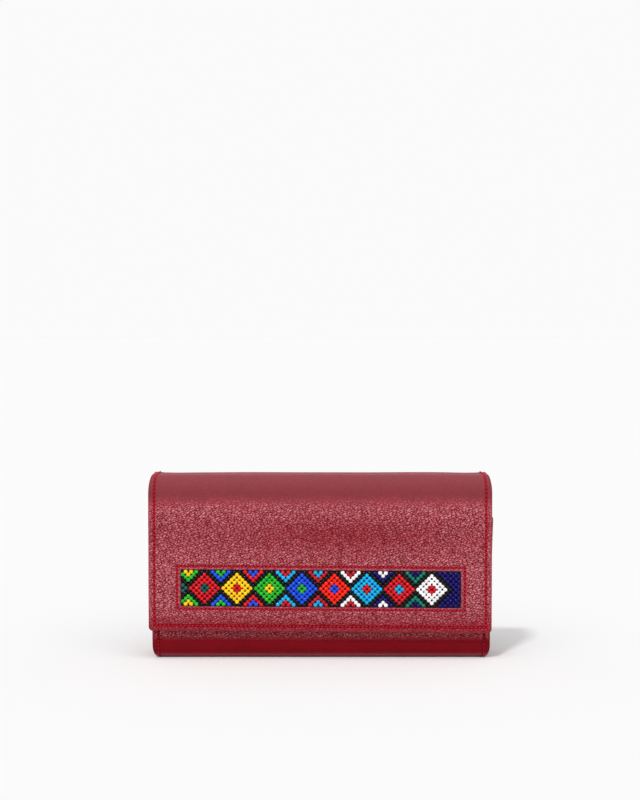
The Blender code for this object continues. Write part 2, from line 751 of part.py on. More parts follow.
def build_slider(pivot):
    """The slider: a saddle over both rows, with an arch on its top for the pull."""
    half_length = SLIDER_LENGTH / 2
    outer = ZIP_ROW_WIDTH / 2 + SEAT + SLIDER_FLANGE
    shape = box_shape(
        (SLIDER_X - half_length, COIN_Y - outer, ZIP_ROW_BOTTOM),
        (SLIDER_X + half_length, COIN_Y + outer, SLIDER_TOP),
    )
    upright = [
        edge
        for edge in shape.edges
        if abs(edge.verts[0].co.z - edge.verts[1].co.z) > SLIDER_PLATE
    ]
    bmesh.ops.bevel(shape, geom=upright, offset=1.2 * MM, segments=3, profile=0.5, affect="EDGES")
    slider = add_object("zip_slider", shape, [brass_material("zip_slider")], pivot)
    channel = box(
        "slider_channel",
        (SLIDER_X - SLIDER_LENGTH, COIN_Y - ZIP_ROW_WIDTH / 2 - SEAT, ZIP_ROW_BOTTOM - SLIDER_PLATE),
        (SLIDER_X + SLIDER_LENGTH, COIN_Y + ZIP_ROW_WIDTH / 2 + SEAT, ZIP_ROW_TOP + SEAT),
        None,
        pivot,
    )
    cut_from(slider, channel)
    arch_top = SLIDER_TOP + ARCH_HOLE_HEIGHT + ARCH_BAR
    arch = box(
        "slider_arch",
        (SLIDER_X - ARCH_LENGTH / 2, COIN_Y - ARCH_WIDTH / 2, SLIDER_TOP - SLIDER_PLATE / 2),
        (SLIDER_X + ARCH_LENGTH / 2, COIN_Y + ARCH_WIDTH / 2, arch_top),
        None,
        pivot,
    )
    arch.hide_render = True
    arch.display_type = "WIRE"
    union = slider.modifiers.new("arch", "BOOLEAN")
    union.operation = "UNION"
    union.solver = "EXACT"
    union.object = arch
    eye = box(
        "slider_eye",
        (SLIDER_X - ARCH_LENGTH / 2 + ARCH_BAR, COIN_Y - PULL_WIDTH, SLIDER_TOP),
        (SLIDER_X + ARCH_LENGTH / 2 - ARCH_BAR, COIN_Y + PULL_WIDTH, SLIDER_TOP + ARCH_HOLE_HEIGHT),
        None,
        pivot,
    )
    cut_from(slider, eye)


def build_pull(pivot):
    """The pull: a flat tag with a slot at its root, whose bar lies in the slider's arch."""
    half_bar = PULL_THICKNESS / 2
    shape = box_shape(
        (SLIDER_X - half_bar, COIN_Y - PULL_WIDTH / 2, PULL_AXIS_Z - half_bar),
        (SLIDER_X + PULL_LENGTH, COIN_Y + PULL_WIDTH / 2, PULL_AXIS_Z + half_bar),
    )
    tip = [
        edge
        for edge in shape.edges
        if all(vertex.co.x > SLIDER_X + PULL_SLOT for vertex in edge.verts)
        and abs(edge.verts[0].co.z - edge.verts[1].co.z) > half_bar
    ]
    bmesh.ops.bevel(shape, geom=tip, offset=PULL_WIDTH * 0.42, segments=4, profile=0.5, affect="EDGES")
    pull = add_object("zip_pull", shape, [brass_material("zip_pull")], pivot)
    slot = box(
        "pull_slot",
        (SLIDER_X + half_bar, COIN_Y - ARCH_WIDTH / 2 - SEAT, PULL_AXIS_Z - PULL_THICKNESS),
        (SLIDER_X + half_bar + PULL_SLOT, COIN_Y + ARCH_WIDTH / 2 + SEAT, PULL_AXIS_Z + PULL_THICKNESS),
        None,
        pivot,
    )
    cut_from(pull, slot)


def build_card_panel():
    """A panel on the back wall, with card slots stepped down its front."""
    half_width = CARD_WIDTH / 2
    box(
        "card_panel",
        (-half_width, CARD_PANEL_Y - CARD_PANEL, CARD_BOTTOM),
        (half_width, CARD_PANEL_Y, CARD_PANEL_TOP),
        card_material("card_panel"),
    )
    for number in range(CARD_STRIP_COUNT):
        name = f"card_slot_{number + 1}"
        near = CARD_PANEL_Y - CARD_PANEL - (number + 1) * CARD_STRIP_PITCH
        top = CARD_STRIP_TOP - number * CARD_STRIP_STEP
        box(
            name,
            (-half_width, near, CARD_BOTTOM),
            (half_width, near + CARD_STRIP, top),
            card_material(name),
        )


def main():
    clear_scene()
    back_fold = add_pivot("back_fold_axis", 0.0, *BACK_FOLD)
    front_fold = add_pivot("front_fold_axis", 0.0, *FRONT_FOLD, parent=back_fold)
    slide = add_pivot("zip_slide_axis", SLIDER_X, COIN_Y, ZIP_ROW_TOP)
    pull_pin = add_pivot("zip_pull_axis", SLIDER_X, COIN_Y, PULL_AXIS_Z, parent=slide)
    build_pouch()
    build_gusset("gusset_left", -1)
    build_gusset("gusset_right", 1)
    build_card_panel()
    build_coin_pocket()
    build_zip_tape("zip_tape_front", -1)
    build_zip_tape("zip_tape_back", 1)
    build_zip_teeth("zip_teeth_front", -1, 0.25)
    build_zip_teeth("zip_teeth_back", 1, 0.75)
    build_zip_stop("zip_stop_left", -1)
    build_zip_stop("zip_stop_right", 1)
    build_slider(slide)
    build_pull(pull_pin)
    build_spine(back_fold)
    build_flap(front_fold)
    build_bead_panel(front_fold)
    build_snap(front_fold)


main()
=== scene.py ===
"""Leather, lining, seed beads, stitching and metalwork for a long wallet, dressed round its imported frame.

Everything is in metres in the frame's own space: +X runs along the wallet, -Y is the front, +Z is up. The
cover is one sheet of leather, followed from the mouth of the pouch down the front, round the base, up the
back, over the top and down the flap.
"""

import math
import random

import bmesh
import bpy
from bpy.props import FloatProperty, FloatVectorProperty, PointerProperty
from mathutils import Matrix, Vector, noise


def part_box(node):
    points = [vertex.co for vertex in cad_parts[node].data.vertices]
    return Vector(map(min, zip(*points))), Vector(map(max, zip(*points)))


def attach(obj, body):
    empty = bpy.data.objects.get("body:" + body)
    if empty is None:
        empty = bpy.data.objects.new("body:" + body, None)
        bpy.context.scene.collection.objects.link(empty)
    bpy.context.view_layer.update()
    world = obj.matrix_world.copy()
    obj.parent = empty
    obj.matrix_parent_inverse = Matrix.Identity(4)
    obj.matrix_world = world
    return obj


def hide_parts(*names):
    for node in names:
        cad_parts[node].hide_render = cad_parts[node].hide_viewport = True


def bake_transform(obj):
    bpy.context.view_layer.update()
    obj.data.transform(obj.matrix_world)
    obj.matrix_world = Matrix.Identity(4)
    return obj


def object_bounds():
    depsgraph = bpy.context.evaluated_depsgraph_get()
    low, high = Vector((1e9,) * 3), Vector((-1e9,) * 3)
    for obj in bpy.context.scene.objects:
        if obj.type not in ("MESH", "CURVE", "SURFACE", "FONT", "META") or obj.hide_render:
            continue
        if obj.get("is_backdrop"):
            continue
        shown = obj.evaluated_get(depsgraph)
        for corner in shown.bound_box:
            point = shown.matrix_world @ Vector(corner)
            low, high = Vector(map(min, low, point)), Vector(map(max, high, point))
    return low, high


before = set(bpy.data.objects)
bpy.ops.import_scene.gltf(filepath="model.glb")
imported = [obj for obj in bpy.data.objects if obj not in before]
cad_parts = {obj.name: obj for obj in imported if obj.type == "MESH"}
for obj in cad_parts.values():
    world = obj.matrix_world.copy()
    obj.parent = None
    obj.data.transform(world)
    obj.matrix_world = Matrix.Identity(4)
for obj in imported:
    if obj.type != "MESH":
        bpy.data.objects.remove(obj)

bl_info = {
    "name": "Beaded wallet",
    "version": (1, 0, 0),
    "blender": (4, 5, 0),
    "location": "3D View > Sidebar > Wallet",
    "description": "Dresses the packed wallet in leather, lining, seed beads, stitching and metalwork",
    "category": "Object",
}

MM = 0.001
CAD_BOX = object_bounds()

# Places read from the frame
POUCH_LOW, POUCH_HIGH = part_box("pouch_leather")
SPINE_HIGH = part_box("spine_leather")[1]
FLAP_LOW, FLAP_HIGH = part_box("flap_leather")
BEADS_LOW, BEADS_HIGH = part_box("bead_panel")
GUSSET_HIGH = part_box("gusset_right")[1]
COIN_LOW, COIN_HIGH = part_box("coin_pocket")
CARD_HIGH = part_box("card_panel")[1]
SOCKET_LOW, SOCKET_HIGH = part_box("snap_socket")
STUD_LOW, STUD_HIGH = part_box("snap_stud")
HEIGHT = SPINE_HIGH.z
BACK_Y = POUCH_HIGH.y
FRONT_Y = POUCH_LOW.y
FLAP_Y = FLAP_LOW.y
FLAP_HEM_Z = FLAP_LOW.z
FLAP_HALF = FLAP_HIGH.x
COVER_EASE = 0.5 * MM
COVER_HALF = SPINE_HIGH.x + COVER_EASE
MOUTH_HALF = POUCH_HIGH.x
COIN_Y = (COIN_LOW.y + COIN_HIGH.y) / 2

# The cover's build, as in the frame
LEATHER = 1.4 * MM
LINING = 0.6 * MM
SEAT = 0.3 * MM
FLAP_STACK = 3.0 * MM
WALL_STACK = LEATHER + SEAT + LINING
HEM = 5.0 * MM
HEM_STEP = 0.15 * MM
BASE_RADIUS = 8.0 * MM
BACK_FOLD_RADIUS = 9.0 * MM
FRONT_FOLD_RADIUS = 11.0 * MM
GUSSET_BELOW_MOUTH = 2.5 * MM
MOUTH_Z = GUSSET_HIGH.z + GUSSET_BELOW_MOUTH
BASE_HALF = 93.6 * MM
WALL_HALF = 96.4 * MM
FLAP_CORNER = 2.4 * MM
MOUTH_CORNER = 1.5 * MM
WINDOW_MARGIN = 0.3 * MM
WINDOW_LAP = 0.3 * MM
SEAM_RAISE = 0.4 * MM
WINDOW_ROLL = 0.7 * MM
EDGE_FLAT = 0.1 * MM
TURN_LEAD = 4 * MM

# How the worn, handmade one departs from the frame
POUCH_SHIFT = 0.6 * MM
MOUTH_FLARE = 0.9 * MM
FLAP_SKEW = 0.0072
SKEW_FROM_Z = 94.0 * MM
SKEW_FULL_Z = 66.0 * MM
RIDGE_Z = 79.0 * MM
RIDGE_RISE = 0.75 * MM
RIDGE_SPREAD = 7.0 * MM
CROWN_Z = 42.0 * MM
CROWN_RISE = 0.55 * MM
CROWN_SPREAD = 19.0 * MM
UNEVEN = 0.22 * MM
UNEVEN_SPAN = 38.0 * MM
UNEVEN_SLICE = 3.7
RIM_SWELL = 0.28 * MM
RIM_WIDTH = 4.4 * MM
RIM_HOLLOW = 13.0 * MM
RIM_SAG = 0.6
RIM_SAG_SPREAD = 8 * MM
RIM_SOFT = 1.2 * MM
RIM_FROM_Z, RIM_FULL_Z = 88 * MM, 100 * MM
PINCH_WIDTH = 7 * MM
PINCH_BEYOND = 1.2 * MM
SHIFT_ENDS_BELOW_TOP = 4 * MM

# Painted shade that takes painted sheen off the flap: a patch in its middle, the smooth band at the bend and
# the hem
MIDDLE_SHADE_X = 12.0 * MM
MIDDLE_SHADE_Z = 71.0 * MM
MIDDLE_SHADE_SPREAD = 11.0 * MM
MIDDLE_SHADE_LENGTH = 52.0 * MM
MIDDLE_SHADE_EVERYWHERE = 0.35
MIDDLE_SHADE_AMOUNT = 0.62
BAND_FROM_Z, BAND_FULL_Z, BAND_FADES_Z = 86 * MM, 92 * MM, 98 * MM
BAND_SHADE_AMOUNT = 0.35
HEM_SHADE_AMOUNT = 0.70
HEM_SHADE_FULL = 2 * MM
HEM_SHADE_ENDS = 15 * MM

# Grid lines of a sheet: even steps, and offsets in millimetres beside its edges and seams
GRID_STEP = 1.9 * MM
WIDE_STEP = 4 * MM
CLOSE_STEP = 2 * MM
TAPE_STEP = 0.5 * MM
GUSSET_STEP = 1.6 * MM
LEAST_GAP = 0.13 * MM
EDGE_OFFSETS = (0.06, 0.2, 0.45, 0.8, 1.2, 1.6)
SEAM_OFFSETS = (0.0, 0.28, 0.6, 1.0)
SHEET_PER_METRE = 10

# A leather sheet's grooves and rolled edges
GROOVE_DEPTH = 0.24 * MM
GROOVE_SPREAD = 0.46 * MM
OUTER_ROLL = 0.9 * MM
INNER_ROLL = 0.5 * MM
POUCH_ROLL = 0.65 * MM
PLAIN_FROM_WINDOW = 2 * MM

# The leather's finish: painted sheen of pale colour on raised grain and smooth leather, painted shade in
# creases and where the grain is smooth
SHEEN_SHARE = 0.72
SHEEN_LIMIT = 0.8
SMOOTH_SHEEN = 0.28
CREASE_SHADE_SHARE = 0.9
CREASE_SHADE_TONE = 0.5
GROOVE_SHADE_TONE = 0.28
GRAIN_SLANT = math.radians(-27)
GRAIN_STRETCH = 2.1
GRAIN_WAVER = 1.3
PEBBLE_EDGE = 0.34
PEBBLE_POWER = 0.6
PEBBLE_SHARE = 0.66
WRINKLE_STRETCH = (0.45, 0.95, 1.0)
WRINKLE_SCALE = 1.15
WRINKLE_SHARE = 0.34
TOP_SHEEN_SHARE = 1.05
LEAST_SHEEN = 0.06
SPINE_GRAIN = 0.30
SPINE_GRAIN_FROM, SPINE_GRAIN_TO = 3 * MM, 9 * MM
SPINE_GRAIN_FROM_Z, SPINE_GRAIN_TO_Z = 96 * MM, 103 * MM
SPINE_SHEEN = 0.8
BAND_GRAIN = 0.08
BAND_GRAIN_LOW_Z, BAND_GRAIN_TOP_Z = 84 * MM, 95 * MM
EDGE_GRAIN = 0.55
EDGE_GRAIN_FROM, EDGE_GRAIN_TO = 0.4 * MM, 2.4 * MM
WINDOW_GRAIN = 0.60
WINDOW_GRAIN_FROM, WINDOW_GRAIN_TO = 0.4 * MM, 2.6 * MM
SEAM_GRAIN_LOSS = 0.5
SMOOTH_PAINTED_SHADE = 0.44
SMOOTH_SHADE_POWER = 2.6
INNER_MARKS = (0.4, 0.3)

# The pouch's front below the flap: its grain smoothed, with painted shade low down and a painted reflection
# of the floor at its foot
LOW_FRONT_GRAIN = 0.22
LOW_FRONT_GRAIN_FROM_Z, LOW_FRONT_GRAIN_TO_Z = 8.5 * MM, 13.5 * MM
LOW_FRONT_SHADE, LOW_FRONT_SHEEN_RISE = -0.12, 0.85
LOW_FRONT_SHEEN_FROM_Z, LOW_FRONT_SHEEN_TO_Z = 9.5 * MM, 14 * MM
FOOT_REFLECTION = 1.5
FOOT_FROM_Z, FOOT_TO_Z = 0.4 * MM, 3.6 * MM

# The bead weave
BEAD_CELL = 3.07 * MM
CELLS_TO_TOP_ROW = 3
CELLS_BEFORE_FIRST_DIAMOND = 4.5
CELLS_AFTER_LAST_DIAMOND = 5.5
DIAMOND_PITCH = 6
DIAMOND_COUNT = 8
BEAD_PROUD = FLAP_Y - BEADS_LOW.y
BEAD_SHIFT = 0.06 * MM
BELLY_POWER = 0.66
BELLY_STEPS = 8
BORE_REACH = 0.30
BORE_WIDTH = 0.44

# How unlike one another the beads are
BEAD_SEED = 41
BEAD_SCATTER = 0.035 * MM
BEAD_SINK_MM = 0.08
BEAD_LEAN = 0.04
BEAD_TIP = 0.05
BEAD_SMALLEST = 0.955
BEAD_SHORTEST, BEAD_LONGEST = 0.93, 1.05

# What holds the beads
STRAND_REACH = 0.78
STRAND_RADIUS = 0.12 * MM
STRAND_SIDES = 5
GROUND_FACE, GROUND_BACK = 0.05 * MM, 0.25 * MM
GROUND_REACH = 2.5 * MM

BEAD_COLOURS = {
    "black": (0.004, 0.004, 0.005),
    "navy": (0.005, 0.002, 0.115),
    "teal": (0.006, 0.098, 0.085),
    "sea_green": (0.003, 0.175, 0.105),
    "red": (0.60, 0.006, 0.014),
    "orange_red": (0.86, 0.016, 0.006),
    "dark_red": (0.46, 0.007, 0.020),
    "yellow": (0.95, 0.56, 0.008),
    "green": (0.018, 0.42, 0.022),
    "blue": (0.010, 0.075, 0.70),
    "light_blue": (0.004, 0.38, 0.72),
    "white": (0.86, 0.85, 0.86),
}

# Outer colour and heart of each diamond, from the one cut off by the left edge onwards
DIAMONDS = (
    ("teal", "teal"),
    ("red", "teal"),
    ("yellow", "red"),
    ("green", "yellow"),
    ("blue", "green"),
    ("orange_red", "blue"),
    ("light_blue", "red"),
    ("red", "light_blue"),
    ("white", "red"),
)

# Outer colour and heart of the half diamonds between one diamond and the next
HALF_DIAMONDS = (
    ("green", "yellow"),
    ("blue", "green"),
    ("red", "blue"),
    ("light_blue", "red"),
    ("dark_red", "light_blue"),
    ("white", "dark_red"),
    ("navy", "white"),
    ("sea_green", "navy"),
)


def length_property(label, description, millimetres):
    return FloatProperty(name=label, description=description, default=millimetres * MM, unit="LENGTH")


def colour_property(label, description, value):
    return FloatVectorProperty(name=label, description=description, subtype="COLOR", default=value)


class WalletSizes(bpy.types.PropertyGroup):
    """Sizes of the handwork that dresses the frame."""

    stitch_pitch: length_property("Stitch pitch", "Distance from one stitch to the next", 2.3)
    thread_width: length_property("Thread width", "Diameter of the sewing thread", 0.78)
    seam_inset: length_property("Seam inset", "Distance of the long seams from the leather's edge", 3.4)
    window_seam_inset: length_property(
        "Window seam inset", "Distance of the window's seam from the window's edge", 2.1
    )
    bead_diameter: length_property("Bead diameter", "Outer diameter of a seed bead", 2.40)
    bead_length: length_property("Bead length", "Length of a seed bead along its hole", 2.18)
    bead_hole: length_property("Bead hole", "Diameter of a seed bead's hole", 0.80)
    grain_cell: FloatProperty(
        name="Grain cell",
        description="Width of a pebble of the leather's grain, in millimetres",
        default=1.0,
    )


class WalletColours(bpy.types.PropertyGroup):
    """Colours of the wallet's materials and of the stage."""

    leather: colour_property("Leather", "Pebbled cover leather", (0.25, 0.003, 0.010))
    # The colour of the painted sheen on raised grain
    painted_sheen: colour_property("Painted_sheen", "Pale bloom on raised grain", (0.80, 0.31, 0.36))
    thread: colour_property("Thread", "Sewing thread", (0.62, 0.004, 0.028))
    pouch_thread: colour_property("Pouch thread", "Sewing thread of the pouch", (0.36, 0.004, 0.018))
    lining: colour_property("Lining", "Woven lining", (0.16, 0.010, 0.018))
    card: colour_property("Card leather", "Thin leather inside", (0.24, 0.012, 0.022))
    tape: colour_property("Zipper tape", "Woven zipper tape", (0.13, 0.010, 0.016))
    brass: colour_property("Brass", "Zipper metal", (0.66, 0.46, 0.20))
    nickel: colour_property("Nickel", "Snap metal", (0.62, 0.60, 0.57))
    floor: colour_property("Floor", "Floor and backdrop", (0.90, 0.90, 0.90))


# Node groups and materials


def add(tree, kind, values=None, **settings):
    """Adds a node, then sets or links its inputs by name or number."""
    made = tree.nodes.new(kind)
    for key, value in settings.items():
        setattr(made, key, value)
    for key, value in (values or {}).items():
        if isinstance(value, bpy.types.NodeSocket):
            tree.links.new(value, made.inputs[key])
        else:
            made.inputs[key].default_value = value
    return made


def math_node(tree, operation, first, second=0.0):
    return add(tree, "ShaderNodeMath", {0: first, 1: second}, operation=operation).outputs[0]


def map_range(tree, value, low, high, to_low=0.0, to_high=1.0):
    values = {"Value": value, "From Min": low, "From Max": high, "To Min": to_low, "To Max": to_high}
    return add(tree, "ShaderNodeMapRange", values, clamp=True).outputs["Result"]


def mix_colour(tree, factor, first, second):
    return add(tree, "ShaderNodeMix", {0: factor, 6: first, 7: second}, data_type="RGBA").outputs[2]


def scale_vector(tree, vector, factor):
    return add(tree, "ShaderNodeVectorMath", {0: vector, 3: factor}, operation="SCALE").outputs[0]


def noise_value(tree, vector, scale, detail):
    values = {"Vector": vector, "Scale": scale, "Detail": detail}
    return add(tree, "ShaderNodeTexNoise", values).outputs["Fac"]


def put_out(tree, result, values):
    """Links values to a group's outputs by name."""
    for name, value in values.items():
        tree.links.new(value, result.inputs[name])


def link_bump(tree, shader, height, strength, millimetres):
    values = {"Height": height, "Strength": strength, "Distance": millimetres * MM}
    bump = add(tree, "ShaderNodeBump", values)
    tree.links.new(bump.outputs["Normal"], shader.inputs["Normal"])


def new_group(name, inputs, outputs):
    """An empty node group with a vector input, number inputs and number outputs."""
    tree = bpy.data.node_groups.new(name, "ShaderNodeTree")
    tree.interface.new_socket(name="Vector", in_out="INPUT", socket_type="NodeSocketVector")
    for socket_name in inputs:
        tree.interface.new_socket(name=socket_name, in_out="INPUT", socket_type="NodeSocketFloat")
    for socket_name in outputs:
        tree.interface.new_socket(name=socket_name, in_out="OUTPUT", socket_type="NodeSocketFloat")
    return tree, add(tree, "NodeGroupInput"), add(tree, "NodeGroupOutput")


def build_grain_group():
    """Pebbled leather: domed cells drawn out on a slant, split by creases, with longer wrinkles across."""
    tree, given, result = new_group("leather_grain", ("Cell",), ("Height", "Crease", "Sheen_Tops", "Tone"))
    turned = add(
        tree,
        "ShaderNodeMapping",
        {"Vector": given.outputs["Vector"], "Rotation": (0, 0, GRAIN_SLANT), "Scale": (GRAIN_STRETCH, 1, 1)},
        vector_type="TEXTURE",
    ).outputs[0]
    per_cell = math_node(tree, "DIVIDE", 1.0, given.outputs["Cell"])
    cells = scale_vector(tree, turned, per_cell)
    waver = add(tree, "ShaderNodeTexNoise", {"Vector": cells, "Scale": 0.7, "Detail": 2.0}).outputs["Color"]
    centred = add(
        tree, "ShaderNodeVectorMath", {0: waver, 1: (-0.5, -0.5, -0.5)}, operation="ADD"
    ).outputs[0]
    small = scale_vector(tree, centred, GRAIN_WAVER)
    bent = add(tree, "ShaderNodeVectorMath", {0: cells, 1: small}, operation="ADD").outputs[0]
    edge = {"feature": "DISTANCE_TO_EDGE", "voronoi_dimensions": "2D"}
    large = add(tree, "ShaderNodeTexVoronoi", {"Vector": bent, "Scale": 1.0}, **edge).outputs["Distance"]
    dome = math_node(tree, "POWER", map_range(tree, large, 0.0, PEBBLE_EDGE), PEBBLE_POWER)
    drawn_out = add(
        tree, "ShaderNodeVectorMath", {0: bent, 1: WRINKLE_STRETCH}, operation="MULTIPLY"
    ).outputs[0]
    long_folds = {"Vector": drawn_out, "Scale": WRINKLE_SCALE, "Detail": 1.5, "Roughness": 0.5}
    wrinkle = add(tree, "ShaderNodeTexNoise", long_folds).outputs["Fac"]
    wrinkle = map_range(tree, wrinkle, 0.32, 0.68)
    pebble = math_node(tree, "MULTIPLY", dome, PEBBLE_SHARE)
    height = math_node(tree, "ADD", pebble, math_node(tree, "MULTIPLY", wrinkle, WRINKLE_SHARE))
    crease = math_node(tree, "SUBTRACT", 1.0, map_range(tree, height, 0.08, 0.42))
    speckle = noise_value(tree, bent, 2.6, 1.0)
    patchy = map_range(tree, speckle, 0.36, 0.66, 0.55, 1.4)
    # Tops of the raised grain, where the leather's painted sheen goes
    fleck = math_node(tree, "MULTIPLY", map_range(tree, height, 0.45, 0.95), patchy)
    tone = noise_value(tree, given.outputs["Vector"], 0.055, 4.0)
    put_out(tree, result, {"Height": height, "Crease": crease, "Sheen_Tops": fleck, "Tone": tone})


def build_weave_group():
    """Plain weave: warp and weft threads pass over each other in turn."""
    tree, given, result = new_group("plain_weave", ("Thread",), ("Height", "Tone"))
    per_thread = math_node(tree, "DIVIDE", 1.0, given.outputs["Thread"])
    scaled = scale_vector(tree, given.outputs["Vector"], per_thread)
    split = add(tree, "ShaderNodeSeparateXYZ", {0: scaled})
    ridges = []
    counts = []
    for axis in (0, 1):
        turned = math_node(tree, "MULTIPLY", split.outputs[axis], math.pi)
        ridges.append(math_node(tree, "ABSOLUTE", math_node(tree, "SINE", turned)))
        counts.append(math_node(tree, "FLOOR", split.outputs[axis]))
    parity = math_node(tree, "FLOORED_MODULO", math_node(tree, "ADD", counts[0], counts[1]), 2.0)
    over = math_node(tree, "MULTIPLY", ridges[0], parity)
    under = math_node(tree, "MULTIPLY", ridges[1], math_node(tree, "SUBTRACT", 1.0, parity))
    height = math_node(tree, "ADD", over, under)
    tone = noise_value(tree, given.outputs["Vector"], 0.35, 5.0)
    put_out(tree, result, {"Height": height, "Tone": tone})


def build_handling_group():
    """Marks of handling: fine scratches in two directions and a cloudy tarnish."""
    tree, given, result = new_group("handling_marks", ("Density",), ("Scratch", "Cloud"))
    lines = []
    for angle, stretch in ((20.0, 26.0), (-65.0, 34.0)):
        turned = add(
            tree,
            "ShaderNodeMapping",
            {
                "Vector": given.outputs["Vector"],
                "Rotation": (0, 0, math.radians(angle)),
                "Scale": (1, stretch, 1),
            },
        ).outputs[0]
        streak = noise_value(tree, turned, given.outputs["Density"], 2.0)
        lines.append(map_range(tree, streak, 0.62, 0.72))
    scratch = math_node(tree, "MAXIMUM", lines[0], lines[1])
    cloud = noise_value(tree, given.outputs["Vector"], 0.6, 4.0)
    put_out(tree, result, {"Scratch": scratch, "Cloud": cloud})


def new_material(name):
    material = bpy.data.materials.new(name)
    material.use_nodes = True
    tree = material.node_tree
    return material, tree, tree.nodes["Principled BSDF"]


def use_group(tree, name, vector, values):
    group = bpy.data.node_groups[name]
    return add(tree, "ShaderNodeGroup", {"Vector": vector, **values}, node_tree=group)


def sheet_millimetres(tree):
    """The sheet's own coordinates in millimetres, which stay on the leather as it bends."""
    flat = add(tree, "ShaderNodeTexCoord").outputs["UV"]
    return scale_vector(tree, flat, 1000.0 / SHEET_PER_METRE)


def object_millimetres(tree):
    """A rigid piece's own coordinates in millimetres."""
    place = add(tree, "ShaderNodeTexCoord").outputs["Object"]
    return scale_vector(tree, place, 1000.0)


def mark_value(tree, name):
    return add(tree, "ShaderNodeAttribute", attribute_name=name).outputs["Fac"]


def scaled_colour(colour, factor):
    return (*(min(1.0, channel * factor) for channel in colour), 1.0)


def leather_finish(name, colour, painted_sheen_colour, cell, depth, roughness):
    """Leather as deeply grained as its strength mark says, with a painted sheen of pale colour on raised
    grain where its painted_sheen mark is high.

    A painted_sheen mark below zero paints shade, in stitch grooves and low on the pouch's front.
    """
    material, tree, shader = new_material(name)
    grain = use_group(tree, "leather_grain", sheet_millimetres(tree), {"Cell": cell})
    strength = mark_value(tree, "strength")
    painted_sheen = mark_value(tree, "painted_sheen")
    tone = map_range(tree, grain.outputs["Tone"], 0.3, 0.7)
    even = mix_colour(tree, tone, scaled_colour(colour, 0.90), scaled_colour(colour, 1.10))
    smooth = math_node(tree, "SUBTRACT", 1.0, strength)
    # Painted sheen: a pale colour mixed in a little everywhere, more on smooth leather and most on the tops
    # of raised grain
    flat = math_node(tree, "MULTIPLY", smooth, SMOOTH_SHEEN)
    top_sheen = math_node(tree, "MULTIPLY", grain.outputs["Sheen_Tops"], strength)
    top_sheen = math_node(tree, "MULTIPLY", top_sheen, TOP_SHEEN_SHARE)
    raised = math_node(tree, "ADD", top_sheen, math_node(tree, "ADD", flat, LEAST_SHEEN))
    pale = math_node(tree, "MULTIPLY", math_node(tree, "MULTIPLY", raised, painted_sheen), SHEEN_SHARE)
    pale = map_range(tree, pale, 0.0, SHEEN_LIMIT, 0.0, SHEEN_LIMIT)
    with_painted_sheen = mix_colour(tree, pale, even, (*painted_sheen_colour, 1.0))
    # Painted shade in the creases of the grain
    crease = math_node(tree, "MULTIPLY", grain.outputs["Crease"], strength)
    dark = math_node(tree, "MULTIPLY", crease, CREASE_SHADE_SHARE)
    crease_shaded = mix_colour(tree, dark, with_painted_sheen, scaled_colour(colour, CREASE_SHADE_TONE))
    # Painted shade where the grain is smooth, most in the band at the flap's bend
    smooth_shade = math_node(tree, "MULTIPLY", math_node(tree, "POWER", smooth, SMOOTH_SHADE_POWER), SMOOTH_PAINTED_SHADE)
    crease_shaded = mix_colour(tree, smooth_shade, crease_shaded, (0.0, 0.0, 0.0, 1.0))
    # Painted shade where the painted_sheen mark is below zero: in stitch grooves and low on the pouch's front
    groove = map_range(tree, painted_sheen, 0.0, -1.0)
    shaded = mix_colour(tree, groove, crease_shaded, scaled_colour(colour, GROOVE_SHADE_TONE))
    tree.links.new(shaded, shader.inputs["Base Color"])
    tree.links.new(map_range(tree, crease, 0.0, 1.0, roughness, roughness + 0.2), shader.inputs["Roughness"])
    height = math_node(tree, "MULTIPLY", grain.outputs["Height"], strength)
    link_bump(tree, shader, height, 1.0, depth)
    shader.inputs["Specular IOR Level"].default_value = 0.06
    return material


def cloth_finish(name, colour, thread, depth):
    """Woven cloth, with a soft sheen and some slubs."""
    material, tree, shader = new_material(name)
    weave = use_group(tree, "plain_weave", sheet_millimetres(tree), {"Thread": thread})
    tone = map_range(tree, weave.outputs["Tone"], 0.3, 0.7)
    even = mix_colour(tree, tone, scaled_colour(colour, 0.8), scaled_colour(colour, 1.2))
    # Low parts of the weave are darkened: painted shade between the threads
    raised = map_range(tree, weave.outputs["Height"], 0.0, 0.5)
    tree.links.new(mix_colour(tree, raised, scaled_colour(colour, 0.35), even), shader.inputs["Base Color"])
    link_bump(tree, shader, weave.outputs["Height"], 0.8, depth)
    shader.inputs["Roughness"].default_value = 0.85
    shader.inputs["Sheen Weight"].default_value = 0.2
    return material


def thread_finish(name, colour):
    """Twisted sewing thread: slanting plies along each stitch."""
    material, tree, shader = new_material(name)
    place = sheet_millimetres(tree)
    values = {"Vector": place, "Scale": 0.85, "Distortion": 0.4}
    plies = add(tree, "ShaderNodeTexWave", values, bands_direction="DIAGONAL").outputs["Fac"]
    # Darker bands between the plies: painted shade in their grooves
    dark, light = scaled_colour(colour, 0.72), scaled_colour(colour, 1.15)
    tree.links.new(mix_colour(tree, plies, dark, light), shader.inputs["Base Color"])
    link_bump(tree, shader, plies, 0.6, 0.06)
    shader.inputs["Roughness"].default_value = 0.6
    shader.inputs["Specular IOR Level"].default_value = 0.15
    return material


def glass_finish(name, colour):
    """Opaque glass: each bead a little lighter or darker, with a hard gloss."""
    material, tree, shader = new_material(name)
    tone = mark_value(tree, "strength")
    haze = noise_value(tree, object_millimetres(tree), 0.9, 3.0)
    body = mix_colour(tree, tone, scaled_colour(colour, 0.86), scaled_colour(colour, 1.14))
    tree.links.new(body, shader.inputs["Base Color"])
    tree.links.new(map_range(tree, haze, 0.35, 0.75, 0.07, 0.2), shader.inputs["Roughness"])
    shader.inputs["Specular IOR Level"].default_value = 0.18
    return material


